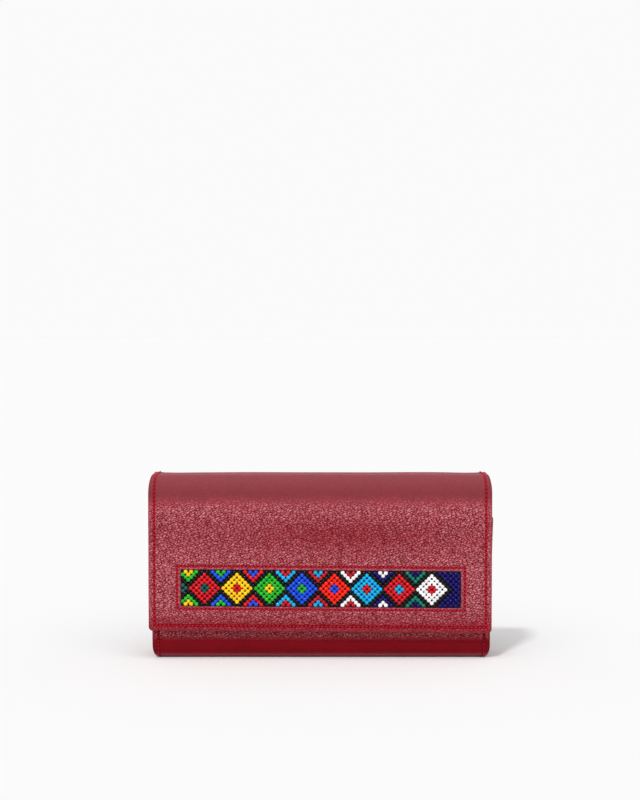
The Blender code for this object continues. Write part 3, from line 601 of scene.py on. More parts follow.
def metal_finish(name, colour, roughness):
    """Plated metal with light scratches and a breath of tarnish."""
    material, tree, shader = new_material(name)
    marks = use_group(tree, "handling_marks", object_millimetres(tree), {"Density": 0.9})
    cloud = map_range(tree, marks.outputs["Cloud"], 0.35, 0.7)
    dull = mix_colour(tree, cloud, scaled_colour(colour, 1.08), scaled_colour(colour, 0.72))
    tree.links.new(dull, shader.inputs["Base Color"])
    rough = map_range(tree, cloud, 0.0, 1.0, roughness, roughness + 0.16)
    tree.links.new(rough, shader.inputs["Roughness"])
    link_bump(tree, shader, marks.outputs["Scratch"], 0.25, 0.02)
    shader.inputs["Metallic"].default_value = 1.0
    return material


def board_finish(name, colour):
    """Pressed fibre board with pale and dark flecks."""
    material, tree, shader = new_material(name)
    fleck = {"Vector": object_millimetres(tree), "Scale": 1.4, "Detail": 6.0, "Roughness": 0.7}
    speck = add(tree, "ShaderNodeTexNoise", fleck).outputs["Fac"]
    mask = map_range(tree, speck, 0.35, 0.65)
    dark, light = scaled_colour(colour, 0.6), scaled_colour(colour, 1.3)
    tree.links.new(mix_colour(tree, mask, dark, light), shader.inputs["Base Color"])
    link_bump(tree, shader, speck, 0.4, 0.1)
    shader.inputs["Roughness"].default_value = 0.9
    return material


# Shapes


def rework(mesh, change):
    """Opens a mesh for editing, makes one change and puts it back."""
    worked = bmesh.new()
    worked.from_mesh(mesh)
    change(worked)
    worked.to_mesh(mesh)
    worked.free()


def face_outwards(worked):
    bmesh.ops.recalc_face_normals(worked, faces=worked.faces)


class Shape:
    """Points and faces gathered for one piece, with sheet coordinates at each point and two marks.

    strength says how deep the grain is, or how light a bead, and painted_sheen how much painted sheen
    the leather gets; below zero it paints shade.
    """

    def __init__(self):
        self.points = []
        self.sheet = []
        self.marks = []
        self.painted_sheens = []
        self.faces = []
        self.slots = []

    def point(self, place, sheet=(0.0, 0.0), mark=1.0, painted_sheen=0.6):
        self.points.append(place)
        self.sheet.append(sheet)
        self.marks.append(mark)
        self.painted_sheens.append(painted_sheen)
        return len(self.points) - 1

    def face(self, corners, slot=0):
        self.faces.append(tuple(corners))
        self.slots.append(slot)

    def join(self, first, second, slot=0, skipped=()):
        """Faces between two equal rings of points."""
        for corner in range(len(first)):
            after = (corner + 1) % len(first)
            if corner not in skipped:
                self.face((first[corner], first[after], second[after], second[corner]), slot)

    def loft(self, rings):
        """Joins equal rings of points, and closes both ends."""
        for first, second in zip(rings, rings[1:]):
            self.join(first, second)
        self.face(rings[0])
        self.face(list(reversed(rings[-1])))

    def wrap(self, rings, slot=0, skipped=()):
        """Joins rings that follow one another round an axis, all the way back to the first."""
        for step, first in enumerate(rings):
            self.join(first, rings[(step + 1) % len(rings)], slot, skipped)

    def make(self, name, materials, sharp_deg=50.0):
        """Turns the shape into an object with outward faces."""
        mesh = bpy.data.meshes.new(name)
        mesh.from_pydata(self.points, [], self.faces)
        for material in materials:
            mesh.materials.append(material)
        mesh.polygons.foreach_set("material_index", self.slots)
        layer = mesh.uv_layers.new(name="sheet")
        for loop in mesh.loops:
            layer.data[loop.index].uv = self.sheet[loop.vertex_index]
        for mark, values in (("strength", self.marks), ("painted_sheen", self.painted_sheens)):
            mesh.attributes.new(mark, "FLOAT", "POINT").data.foreach_set("value", values)
        rework(mesh, face_outwards)
        mesh.shade_smooth()
        mesh.set_sharp_from_angle(angle=math.radians(sharp_deg))
        made = bpy.data.objects.new(name, mesh)
        bpy.context.scene.collection.objects.link(made)
        return made


def on_sheet(across, along):
    """A sheet's own coordinates for a place on it."""
    return across * SHEET_PER_METRE, along * SHEET_PER_METRE


class Run:
    """The line that a sheet follows, seen from the side: straight legs and round bends.

    A facing of 0 looks to the back, 90 degrees up, 180 to the front and 270 down.
    """

    def __init__(self):
        self.legs = []
        self.length = 0.0

    def line(self, start, end, facing):
        length = math.dist(start, end)

        def place(share):
            return (
                start[0] + (end[0] - start[0]) * share,
                start[1] + (end[1] - start[1]) * share,
                facing,
            )

        self.legs.append((self.length, length, place))
        self.length += length
        return self

    def bend(self, centre, radius, first, last):
        length = radius * abs(last - first)

        def place(share):
            angle = first + (last - first) * share
            return (
                centre[0] + radius * math.cos(angle),
                centre[1] + radius * math.sin(angle),
                angle,
            )

        self.legs.append((self.length, length, place))
        self.length += length
        return self

    def at(self, along):
        """The outer surface's Y, Z and facing at a distance along the run."""
        for start, length, place in self.legs:
            if along <= start + length or (start, length, place) == self.legs[-1]:
                return place((along - start) / length)


def smooth_step(value, low, high):
    share = min(1.0, max(0.0, (value - low) / (high - low)))
    return share * share * (3 - 2 * share)


def rise_from(least, value, low, high):
    """Rises from a least share to 1 as a value goes from low to high."""
    return least + (1 - least) * smooth_step(value, low, high)


def bell(distance, spread):
    return math.exp(-((distance / spread) ** 2))


def edge_drop(distance, radius):
    """How far a rounded edge has fallen away at a distance from the border."""
    if distance >= radius:
        return 0.0
    return radius - math.sqrt(max(0.0, radius * radius - (radius - distance) ** 2))


def round_corner(side, end, radius):
    """Moves a point near a square corner so that the corner comes out round."""
    across = radius - side
    along = radius - end
    if across <= 0 or along <= 0:
        return side, end, min(side, end)
    longest = max(across, along)
    shrink = longest / math.hypot(across, along)
    return radius - across * shrink, radius - along * shrink, radius - longest


def frame_distance(across, along, half_across, half_along):
    """Distance to a rectangle's outline, negative inside it."""
    out_across = abs(across) - half_across
    out_along = abs(along) - half_along
    if out_across <= 0 and out_along <= 0:
        return max(out_across, out_along)
    return math.hypot(max(out_across, 0.0), max(out_along, 0.0))


def spaced_lines(low, high, step=GRID_STEP, edges=(), seams=()):
    """Grid lines at even steps, closer together at rounded edges and along seams."""
    count = max(1, round((high - low) / step))
    wanted = [low + (high - low) * number / count for number in range(count + 1)]
    fixed = {low, high, *edges, *seams}
    for edge in edges:
        wanted += [edge + side * offset * MM for offset in EDGE_OFFSETS for side in (-1, 1)]
    for seam in seams:
        wanted += [seam + side * offset * MM for offset in SEAM_OFFSETS for side in (-1, 1)]
    wanted = sorted({value for value in (*wanted, *fixed) if low <= value <= high})
    kept = [wanted[0]]
    for value in wanted[1:]:
        if value - kept[-1] > LEAST_GAP or (value in fixed and kept[-1] not in fixed):
            if value - kept[-1] <= LEAST_GAP and len(kept) > 1:
                kept[-1] = value
            else:
                kept.append(value)
    return kept


def grid_sheet(shape, columns, rows, place, in_window=None):
    """A closed sheet over a grid of lines. place gives a point, its sheet coordinates and its marks."""
    known = {}

    def corner(column, row, inner):
        key = (column, row, inner)
        if key not in known:
            known[key] = shape.point(*place(columns[column], rows[row], inner))
        return known[key]

    cells = {
        (column, row)
        for column in range(len(columns) - 1)
        for row in range(len(rows) - 1)
        if in_window is None
        or not in_window(
            (columns[column] + columns[column + 1]) / 2, (rows[row] + rows[row + 1]) / 2
        )
    }
    around = ((0, 0), (1, 0), (1, 1), (0, 1))
    beyond = ((0, -1), (1, 0), (0, 1), (-1, 0))
    for column, row in sorted(cells):
        for inner in (False, True):
            shape.face([corner(column + u, row + v, inner) for u, v in around])
        for side in range(4):
            u, v = beyond[side]
            if (column + u, row + v) in cells:
                continue
            first, second = around[side], around[(side + 1) % 4]
            ends = [(column + first[0], row + first[1]), (column + second[0], row + second[1])]
            shape.face(
                (
                    corner(*ends[0], False),
                    corner(*ends[1], False),
                    corner(*ends[1], True),
                    corner(*ends[0], True),
                )
            )


# The cover's two stretches. They meet in the middle of the strip over the top.

BACK_TURN = (BACK_Y - BACK_FOLD_RADIUS, HEIGHT - BACK_FOLD_RADIUS)
FRONT_TURN = (FLAP_Y + FRONT_FOLD_RADIUS, HEIGHT - FRONT_FOLD_RADIUS)
MIDDLE_Y = (BACK_TURN[0] + FRONT_TURN[0]) / 2
UP, FRONT, DOWN, BACK = (math.pi / 2 * quarter for quarter in (1, 2, 3, 4))


def pouch_run():
    """Down the front, round the base, up the back and half way over the top."""
    run = Run()
    run.line((FRONT_Y, MOUTH_Z), (FRONT_Y, BASE_RADIUS), FRONT)
    run.bend((FRONT_Y + BASE_RADIUS, BASE_RADIUS), BASE_RADIUS, FRONT, DOWN)
    run.line((FRONT_Y + BASE_RADIUS, 0.0), (BACK_Y - BASE_RADIUS, 0.0), DOWN)
    run.bend((BACK_Y - BASE_RADIUS, BASE_RADIUS), BASE_RADIUS, DOWN, BACK)
    run.line((BACK_Y, BASE_RADIUS), (BACK_Y, BACK_TURN[1]), BACK)
    run.bend(BACK_TURN, BACK_FOLD_RADIUS, BACK, BACK + UP)
    run.line((BACK_TURN[0], HEIGHT), (MIDDLE_Y, HEIGHT), BACK + UP)
    return run


def flap_run():
    """The other half of the top, the front bend and the flap."""
    run = Run()
    run.line((MIDDLE_Y, HEIGHT), (FRONT_TURN[0], HEIGHT), UP)
    run.bend(FRONT_TURN, FRONT_FOLD_RADIUS, UP, FRONT)
    run.line((FLAP_Y, FRONT_TURN[1]), (FLAP_Y, FLAP_HEM_Z), FRONT)
    return run


POUCH_RUN = pouch_run()
FLAP_RUN = flap_run()
BACK_BEND_START = POUCH_RUN.legs[5][0]
BACK_BEND_LENGTH = POUCH_RUN.legs[5][1]
FRONT_BEND_START = FLAP_RUN.legs[1][0]
FRONT_BEND_LENGTH = FLAP_RUN.legs[1][1]
WINDOW_X = (BEADS_LOW.x + BEADS_HIGH.x) / 2
WINDOW_Z = (BEADS_LOW.z + BEADS_HIGH.z) / 2
WINDOW_ALONG = FLAP_RUN.length - (WINDOW_Z - FLAP_HEM_Z)
SEAM_ALONG = WINDOW_ALONG - SEAM_RAISE
WINDOW_HALF_WIDTH = (BEADS_HIGH.x - BEADS_LOW.x) / 2 - WINDOW_LAP
WINDOW_HALF_HEIGHT = (BEADS_HIGH.z - BEADS_LOW.z) / 2 + WINDOW_MARGIN


def unevenness(x, along):
    """A slow, shallow waviness of hand-finished leather."""
    return UNEVEN * noise.noise(Vector((x / UNEVEN_SPAN, along / UNEVEN_SPAN, UNEVEN_SLICE)))


def rim_swell(x, half, z):
    """Over the top, the thick sewn rim stands up and the leather beside it sags a little."""
    side = half - abs(x)
    on_top = smooth_step(z, RIM_FROM_Z, RIM_FULL_Z)
    swell = 1 - smooth_step(side, RIM_WIDTH - RIM_SOFT, RIM_WIDTH + RIM_SOFT)
    sag = bell(side - RIM_HOLLOW, RIM_SAG_SPREAD)
    return on_top * (RIM_SWELL * swell - RIM_SAG * RIM_SWELL * sag)


def side_line(z):
    """Half the front wall's width at a height: pinched where it turns under, wider towards the mouth."""
    if z < BASE_RADIUS:
        rise = 1 - z / BASE_RADIUS
        return BASE_HALF + (WALL_HALF - BASE_HALF) * math.sqrt(max(0.0, 1 - rise * rise))
    return WALL_HALF + (MOUTH_HALF - WALL_HALF) * (z - BASE_RADIUS) / (MOUTH_Z - BASE_RADIUS)


def settle_pouch(x, z):
    """The pouch sits a little to the right, and its right corner splays at the mouth."""
    splay = max(0.0, x / MOUTH_HALF) * max(0.0, (z - BASE_RADIUS) / (MOUTH_Z - BASE_RADIUS)) ** 2
    fade = 1 - smooth_step(z, MOUTH_Z, HEIGHT - SHIFT_ENDS_BELOW_TOP)
    return x + (POUCH_SHIFT + MOUTH_FLARE * splay) * fade


def pinch(x, half, narrowing):
    """Moves the outer few millimetres of a sheet inwards and leaves the rest where it is."""
    moved = narrowing * smooth_step(abs(x), half - PINCH_WIDTH, half + PINCH_BEYOND)
    return x - math.copysign(moved, x)


def pouch_across(x, along):
    """The pouch is as wide as its mouth asks, narrows where it turns under, and has a straight back."""
    y, z, _ = POUCH_RUN.at(along)
    if y > MIDDLE_Y and z > BASE_RADIUS:
        return x
    full = side_line(max(z, BASE_RADIUS))
    if y > MIDDLE_Y:
        full = COVER_HALF
    return pinch(x * full / COVER_HALF, full, max(0.0, full - side_line(z)))


def pouch_point(x, along, depth):
    """A place on the pouch's stretch of the cover, at a depth below its outer surface."""
    y, z, facing = POUCH_RUN.at(along)
    rise = rim_swell(x, COVER_HALF, z) - depth
    rise += unevenness(x, along - POUCH_RUN.length) * smooth_step(z, 0.0, BASE_RADIUS)
    y += rise * math.cos(facing)
    z = max(0.0, z + rise * math.sin(facing))
    return Vector((settle_pouch(pouch_across(x, along), z), y, z))


def flap_half(along):
    share = min(1.0, max(0.0, (along - FRONT_BEND_START) / FRONT_BEND_LENGTH))
    return COVER_HALF + (FLAP_HALF - COVER_HALF) * math.sin(share * math.pi / 2)


def flap_relief(x, along, z):
    """The ridge where the flap passes the pouch's mouth, the crown at the window and the waviness."""
    on_flap = smooth_step(along, FRONT_BEND_START, FRONT_BEND_START + FRONT_BEND_LENGTH)
    ridge = RIDGE_RISE * bell(z - RIDGE_Z, RIDGE_SPREAD)
    crown = CROWN_RISE * bell(z - CROWN_Z, CROWN_SPREAD)
    swell = rim_swell(x, FLAP_HALF, z)
    return on_flap * (ridge + crown) + swell + unevenness(x, along)


def flap_point(x, along, depth, relief=1.0):
    """A place on the flap's stretch of the cover, at a depth below its outer surface."""
    y, z, facing = FLAP_RUN.at(along)
    rise = relief * flap_relief(x, along, z) - depth
    y += rise * math.cos(facing)
    z += rise * math.sin(facing)
    evenly = x * flap_half(along) / FLAP_HALF
    at_edge = pinch(x, FLAP_HALF, FLAP_HALF - flap_half(along))
    across = evenly + (at_edge - evenly) * smooth_step(along, 0.0, FRONT_BEND_START)
    z -= FLAP_SKEW * across * (1 - smooth_step(z, SKEW_FULL_Z, SKEW_FROM_Z))
    return Vector((across, y, z))


def flap_sheen_and_shade(x, z):
    """Painted sheen on the flap, less where painted shade darkens its middle, the band at its bend and its
    hem.
    """
    sideways = MIDDLE_SHADE_EVERYWHERE + (1 - MIDDLE_SHADE_EVERYWHERE) * bell(x - MIDDLE_SHADE_X, MIDDLE_SHADE_LENGTH)
    middle_shade = bell(z - MIDDLE_SHADE_Z, MIDDLE_SHADE_SPREAD) * sideways
    smooth = smooth_step(z, BAND_FROM_Z, BAND_FULL_Z) * (1 - smooth_step(z, BAND_FADES_Z, HEIGHT))
    hem = 1 - smooth_step(z, FLAP_HEM_Z + HEM_SHADE_FULL, FLAP_HEM_Z + HEM_SHADE_ENDS)
    return 1.0 - MIDDLE_SHADE_AMOUNT * middle_shade - BAND_SHADE_AMOUNT * smooth - HEM_SHADE_AMOUNT * hem


def hem_thickness(border):
    """The sheet is thick where its edge is turned over, and plain leather further in."""
    return FLAP_STACK + (LEATHER - FLAP_STACK) * smooth_step(border, HEM - HEM_STEP, HEM + HEM_STEP)


def turned_over(along):
    """How far the pouch's sheets have passed into the build of the flap, at the bend of the back."""
    return smooth_step(along, BACK_BEND_START - TURN_LEAD, BACK_BEND_START + BACK_BEND_LENGTH / 2)


def window_in(x, along):
    return frame_distance(x - WINDOW_X, along - WINDOW_ALONG, WINDOW_HALF_WIDTH, WINDOW_HALF_HEIGHT)


def window_seam(x, along, inset):
    width, height = WINDOW_HALF_WIDTH + inset, WINDOW_HALF_HEIGHT + inset - SEAM_RAISE
    return abs(frame_distance(x - WINDOW_X, along - SEAM_ALONG, width, height))


def build_flap_cover(sizes, material):
    """The flap with its turned edges, sewn border and window."""
    shape = Shape()
    end = FLAP_RUN.length
    inset = sizes.seam_inset

    def place(x, along, inner):
        side, hem, border = round_corner(FLAP_HALF - abs(x), end - along, FLAP_CORNER)
        moved_x = math.copysign(FLAP_HALF - side, x)
        moved_along = end - hem
        window = window_in(x, along)
        stitched = min(abs(side - inset), abs(hem - inset) if side > inset else 1.0)
        if hem < inset:
            stitched = math.hypot(min(0.0, side - inset), hem - inset)
        groove = bell(stitched, GROOVE_SPREAD)
        groove = max(groove, bell(window_seam(x, along, sizes.window_seam_inset), GROOVE_SPREAD))
        if inner:
            thickness = hem_thickness(border) if window > PLAIN_FROM_WINDOW else LEATHER
            depth = thickness - edge_drop(border, INNER_ROLL)
            point = flap_point(moved_x, moved_along, depth, 0.0)
            return point, on_sheet(x, along + FLAP_STACK), *INNER_MARKS
        depth = edge_drop(border, OUTER_ROLL) + edge_drop(max(0.0, window), WINDOW_ROLL)
        depth += GROOVE_DEPTH * groove
        z = FLAP_RUN.at(along)[1]
        grained = rise_from(BAND_GRAIN, -z, -BAND_GRAIN_TOP_Z, -BAND_GRAIN_LOW_Z)
        on_spine = 1 - smooth_step(along, SPINE_GRAIN_FROM, SPINE_GRAIN_TO)
        grained += (SPINE_GRAIN - BAND_GRAIN) * on_spine
        grained *= rise_from(EDGE_GRAIN, border, EDGE_GRAIN_FROM, EDGE_GRAIN_TO)
        grained *= rise_from(WINDOW_GRAIN, window, WINDOW_GRAIN_FROM, WINDOW_GRAIN_TO)
        grained *= 1 - SEAM_GRAIN_LOSS * groove
        point = flap_point(moved_x, moved_along, depth)
        # Painted sheen as the flap's marks give it, and painted shade in the stitch grooves
        return point, on_sheet(x, along), grained, flap_sheen_and_shade(x, z) * (1 - groove) - groove

    window_edges = [WINDOW_X - WINDOW_HALF_WIDTH, WINDOW_X + WINDOW_HALF_WIDTH]
    window_seams = [
        WINDOW_X + side * (WINDOW_HALF_WIDTH + sizes.window_seam_inset) for side in (-1, 1)
    ]
    columns = spaced_lines(
        -FLAP_HALF,
        FLAP_HALF,
        edges=[-FLAP_HALF, FLAP_HALF, *window_edges],
        seams=[inset - FLAP_HALF, FLAP_HALF - inset, *window_seams],
    )
    level_edges = [WINDOW_ALONG - WINDOW_HALF_HEIGHT, WINDOW_ALONG + WINDOW_HALF_HEIGHT]
    seam_height = WINDOW_HALF_HEIGHT + sizes.window_seam_inset - SEAM_RAISE
    level_seams = [SEAM_ALONG + side * seam_height for side in (-1, 1)]
    rows = spaced_lines(0.0, end, edges=[end, *level_edges], seams=[end - inset, *level_seams])
    grid_sheet(shape, columns, rows, place, lambda x, along: window_in(x, along) < 0)
    made = shape.make("flap_cover", [material])
    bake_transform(made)
    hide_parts("flap_leather", "spine_leather")


def build_pouch_cover(sizes, material):
    """The front, base, back and half the top, in one sheet."""
    shape = Shape()
    end = POUCH_RUN.length
    inset = sizes.seam_inset

    def place(x, along, inner):
        side, mouth, border = round_corner(COVER_HALF - abs(x), along, MOUTH_CORNER)
        moved_x = math.copysign(COVER_HALF - side, x)
        turned = turned_over(along)
        rim = LEATHER + (FLAP_STACK - LEATHER) * turned
        roll = POUCH_ROLL + (OUTER_ROLL - POUCH_ROLL) * turned
        groove = bell(abs(side - inset), GROOVE_SPREAD)
        groove = max(groove, bell(mouth - inset, GROOVE_SPREAD) if side > inset else 0.0)
        if inner:
            thickness = rim + (LEATHER - rim) * smooth_step(side, HEM - HEM_STEP, HEM + HEM_STEP)
            point = pouch_point(moved_x, mouth, thickness - edge_drop(border, INNER_ROLL))
            return point, on_sheet(x, along - end - LEATHER), *INNER_MARKS
        depth = edge_drop(border, roll) + GROOVE_DEPTH * groove
        y, z, _ = POUCH_RUN.at(along)
        grained = rise_from(EDGE_GRAIN, border, EDGE_GRAIN_FROM, EDGE_GRAIN_TO)
        painted_sheen = 1.0
        if along > BACK_BEND_START:
            grained *= 1 - (1 - SPINE_GRAIN) * smooth_step(z, SPINE_GRAIN_FROM_Z, SPINE_GRAIN_TO_Z)
            painted_sheen = SPINE_SHEEN
        # Low on the pouch's front: painted shade below the flap, and a painted reflection of the floor at its
        # foot
        if y < 0 and z < MOUTH_Z:
            grained *= rise_from(LOW_FRONT_GRAIN, z, LOW_FRONT_GRAIN_FROM_Z, LOW_FRONT_GRAIN_TO_Z)
            higher = smooth_step(z, LOW_FRONT_SHEEN_FROM_Z, LOW_FRONT_SHEEN_TO_Z)
            painted_sheen = LOW_FRONT_SHADE + LOW_FRONT_SHEEN_RISE * higher
            painted_sheen += FOOT_REFLECTION * (1 - smooth_step(z, FOOT_FROM_Z, FOOT_TO_Z))
        grained *= 1 - SEAM_GRAIN_LOSS * groove
        point = pouch_point(moved_x, mouth, depth)
        # Painted sheen, and painted shade in the stitch grooves
        return point, on_sheet(x, along - end), grained, painted_sheen * (1 - groove) - groove

    edges = [-COVER_HALF, COVER_HALF]
    seams = [inset - COVER_HALF, COVER_HALF - inset]
    columns = spaced_lines(-COVER_HALF, COVER_HALF, edges=edges, seams=seams)
    rows = spaced_lines(0.0, end, edges=[0.0], seams=[inset])
    grid_sheet(shape, columns, rows, place)
    made = shape.make("pouch_cover", [material])
    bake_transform(made)
    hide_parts("pouch_leather")


def build_linings(material):
    """The lining of the pouch, and the lining of the flap."""
    end = POUCH_RUN.length

    def pouch_place(x, along, inner):
        turned = turned_over(along)
        outer_depth = LEATHER + SEAT + (FLAP_STACK - LEATHER - SEAT - LINING) * turned
        narrower = (2 * SEAT + (HEM + SEAT - 2 * SEAT) * turned) / COVER_HALF
        depth = outer_depth + (LINING if inner else 0.0)
        return pouch_point(x * (1 - narrower), along, depth), on_sheet(x, along - end), 1.0

    shape = Shape()
    columns = spaced_lines(-COVER_HALF, COVER_HALF, WIDE_STEP)
    grid_sheet(shape, columns, spaced_lines(0.0, end, CLOSE_STEP), pouch_place)
    pouch_cloth = shape.make("pouch_lining_cloth", [material])
    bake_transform(pouch_cloth)
    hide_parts("pouch_lining", "spine_lining")

    def flap_place(x, along, inner):
        depth = FLAP_STACK if inner else FLAP_STACK - LINING
        return flap_point(x, along, depth, 0.0), on_sheet(x, along), 1.0

    shape = Shape()
    half = FLAP_HALF - HEM - SEAT
    rows = spaced_lines(0.0, FLAP_RUN.length - HEM - SEAT, CLOSE_STEP)
    grid_sheet(shape, spaced_lines(-half, half, WIDE_STEP), rows, flap_place)
    flap_cloth = shape.make("flap_lining_cloth", [material])
    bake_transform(flap_cloth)
    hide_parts("flap_lining")


GUSSET = 1.0 * MM
GUSSET_TAB = 3.6 * MM
GUSSET_FOLD_DEPTH = 9.3 * MM
GUSSET_EDGE = 0.5 * MM
GUSSET_TAB_FLAT = 0.6
GUSSET_ROUNDS = 3


def wall_inset(z):
    """How far the inside of the base's bend stands in from the upright wall at a height."""
    radius = BASE_RADIUS - WALL_STACK - SEAT
    drop = BASE_RADIUS - z
    if drop <= 0:
        return 0.0
    return radius - math.sqrt(max(0.0, radius * radius - drop * drop))


def soften(points, rounds):
    """Cuts the corners of a line again and again, until its folds are round."""
    for _ in range(rounds):
        cut = [points[0]]
        for first, second in zip(points, points[1:]):
            cut.append(first.lerp(second, 0.25))
            cut.append(first.lerp(second, 0.75))
        cut.append(points[-1])
        points = cut
    return points


def gusset_line(z):
    """A gusset's line at a height, seen from above: a tab on each wall and a soft fold between them."""
    edge = side_line(z) - GUSSET_EDGE
    inset = wall_inset(z) + SEAT
    front = FRONT_Y + WALL_STACK + inset
    back = BACK_Y - WALL_STACK - inset
    corners = (
        (edge, front),
        (edge - GUSSET_TAB * GUSSET_TAB_FLAT, front),
        (edge - GUSSET_TAB, front),
        (edge - GUSSET_TAB - GUSSET_FOLD_DEPTH, COIN_Y),
        (edge - GUSSET_TAB, back),
        (edge - GUSSET_TAB * GUSSET_TAB_FLAT, back),
        (edge, back),
    )
    return soften([Vector(corner) for corner in corners], GUSSET_ROUNDS)


def build_gusset(name, side, material):
    """A pleated side wall between front and back."""
    lowest = WALL_STACK + 2 * SEAT + GUSSET
    rows = spaced_lines(lowest, GUSSET_HIGH.z, edges=[GUSSET_HIGH.z], step=GUSSET_STEP)
    lines = {z: gusset_line(z) for z in rows}
    count = len(lines[rows[0]])

    def place(number, z, inner):
        line = lines[z]
        number = int(number)
        before, after = line[max(0, number - 1)], line[min(count - 1, number + 1)]
        travelled = sum((line[step + 1] - line[step]).length for step in range(number))
        way = (after - before).normalized()
        drop = edge_drop(GUSSET_HIGH.z - z, GUSSET / 2 - EDGE_FLAT / 2)
        depth = GUSSET - drop if inner else drop
        point = line[number] - Vector((way.y, -way.x)) * -depth
        x = settle_pouch(side * point.x, z)
        return Vector((x, point.y, z)), on_sheet(travelled, -z), 0.7

    shape = Shape()
    grid_sheet(shape, list(range(count)), rows, place)
    made = shape.make(name + "_skin", [material])
    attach(made, "pouch")
    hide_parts(name)


# The bead weave


def bead_colour(column, row):
    """The colour of a bead, counted in cells from the first whole diamond's centre.

    Steps along the cell sides to the nearest diamond's centre give its ring: heart, two rings of the
    diamond's colour, the black lattice, then the half diamond above or below.
    """
    nearest = min(DIAMOND_COUNT - 1, math.floor(column / DIAMOND_PITCH + 0.5))
    steps = abs(column - DIAMOND_PITCH * nearest) + abs(row)
    outer, heart = DIAMONDS[nearest + 1]
    if steps < 1:
        return heart
    if steps < 3:
        return outer
    if steps < 4:
        return "black"
    gap = math.floor(column / DIAMOND_PITCH) + 1
    if gap >= len(HALF_DIAMONDS):
        return "navy"
    outer, heart = HALF_DIAMONDS[gap]
    return outer if steps < 5 else heart


def bead_places():
    """Column, row and upright or not of each bead, and the shift towards its tighter crossing."""
    last = DIAMOND_PITCH * (DIAMOND_COUNT - 1) + CELLS_AFTER_LAST_DIAMOND
    for half_row in range(-2 * CELLS_TO_TOP_ROW, 2 * CELLS_TO_TOP_ROW + 1):
        row = half_row / 2
        upright = half_row % 2 != 0
        column = -CELLS_BEFORE_FIRST_DIAMOND + (0.5 if upright else 1.0)
        while column < last:
            wide_first = round(column + row - 0.5) % 2 == 0
            yield column, row, upright, BEAD_SHIFT if wide_first else -BEAD_SHIFT
            column += 1


def bead_section(diameter, length, hole):
    """Half a bead's section as distances along and out from its hole: a round belly and a plain bore."""
    outline = []
    belly = diameter / 2 - hole / 2
    for step in range(BELLY_STEPS + 1):
        angle = math.pi * step / BELLY_STEPS
        along = -math.cos(angle)
        out = math.sin(angle) ** BELLY_POWER
        outline.append((along * length / 2, hole / 2 + belly * out))
    outline.append((length * BORE_REACH, hole * BORE_WIDTH))
    outline.append((-length * BORE_REACH, hole * BORE_WIDTH))
    return outline


BEAD_SIDES = 12


def add_bead(shape, centre, axis, outward, outline, slot, tone):
    """One seed bead, turned round its hole."""
    across = axis.cross(outward).normalized()
    facing = across.cross(axis).normalized()
    rings = []
    for step in range(BEAD_SIDES):
        angle = 2 * math.pi * step / BEAD_SIDES
        spoke = facing * math.cos(angle) + across * math.sin(angle)
        rings.append([shape.point(centre + axis * a + spoke * r, (0.0, 0.0), tone) for a, r in outline])
    shape.wrap(rings, slot)


def weave_place(column, row, depth):
    """A place in the weave, on the flap's own uneven surface."""
    left = BEADS_LOW.x + (column + CELLS_BEFORE_FIRST_DIAMOND) * BEAD_CELL
    return flap_point(left, WINDOW_ALONG - row * BEAD_CELL, depth)


def build_bead_weave(sizes, materials, thread_material, ground_material):
    """The glass beads, each on its own, then the threads through them and the cloth behind."""
    chance = random.Random(BEAD_SEED)
    names = list(BEAD_COLOURS)
    shape = Shape()
    threads = Shape()
    level = sizes.bead_diameter / 2 - BEAD_PROUD
    for column, row, upright, shift in bead_places():
        step = 0.1
        right = (weave_place(column + step, row, level) - weave_place(column - step, row, level)).normalized()
        rise = (weave_place(column, row + step, level) - weave_place(column, row - step, level)).normalized()
        outward = right.cross(rise).normalized()
        axis = rise if upright else right
        centre = weave_place(column, row, level) + axis * shift
        centre += right * chance.gauss(0, BEAD_SCATTER) + rise * chance.gauss(0, BEAD_SCATTER)
        centre += outward * chance.uniform(-BEAD_SINK_MM, 0.0) * MM
        leaning = axis + right * chance.gauss(0, BEAD_LEAN) + rise * chance.gauss(0, BEAD_LEAN)
        leaning = (leaning + outward * chance.gauss(0, BEAD_TIP)).normalized()
        scale = chance.uniform(BEAD_SMALLEST, 1.0)
        outline = bead_section(
            sizes.bead_diameter * scale,
            sizes.bead_length * chance.uniform(BEAD_SHORTEST, BEAD_LONGEST),
            sizes.bead_hole,
        )
        slot = names.index(bead_colour(column, row))
        add_bead(shape, centre, leaning, outward, outline, slot, chance.random())
        ends = [centre + leaning * sizes.bead_length * share for share in (-STRAND_REACH, STRAND_REACH)]
        add_strand(threads, ends, outward, STRAND_RADIUS)
    beads = shape.make("bead_weave", materials, 60.0)
    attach(beads, "flap")
    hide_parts("bead_panel")
    strands = threads.make("bead_threads", [thread_material])
    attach(strands, "flap")

    # The cloth behind the beads, whose near black colour is painted shade in the gaps
    ground = Shape()

    def place(x, along, inner):
        depth = LEATHER + (GROUND_BACK if inner else GROUND_FACE)
        return flap_point(x, along, depth), on_sheet(x, along), 1.0

    half_width, half_height = WINDOW_HALF_WIDTH + GROUND_REACH, WINDOW_HALF_HEIGHT + GROUND_REACH
    columns = spaced_lines(WINDOW_X - half_width, WINDOW_X + half_width, WIDE_STEP)
    rows = spaced_lines(WINDOW_ALONG - half_height, WINDOW_ALONG + half_height, CLOSE_STEP)
    grid_sheet(ground, columns, rows, place)
    cloth = ground.make("bead_ground_cloth", [ground_material])
    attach(cloth, "flap")


def add_strand(shape, ends, outward, radius):
    """A short straight length of thread."""
    way = (ends[1] - ends[0]).normalized()
    across = way.cross(outward).normalized()
    rings = []
    for end in ends:
        ring = []
        for step in range(STRAND_SIDES):
            angle = 2 * math.pi * step / STRAND_SIDES
            ring.append(shape.point(end + (outward * math.cos(angle) + across * math.sin(angle)) * radius))
        rings.append(ring)
    shape.loft(rings)


# Stitching


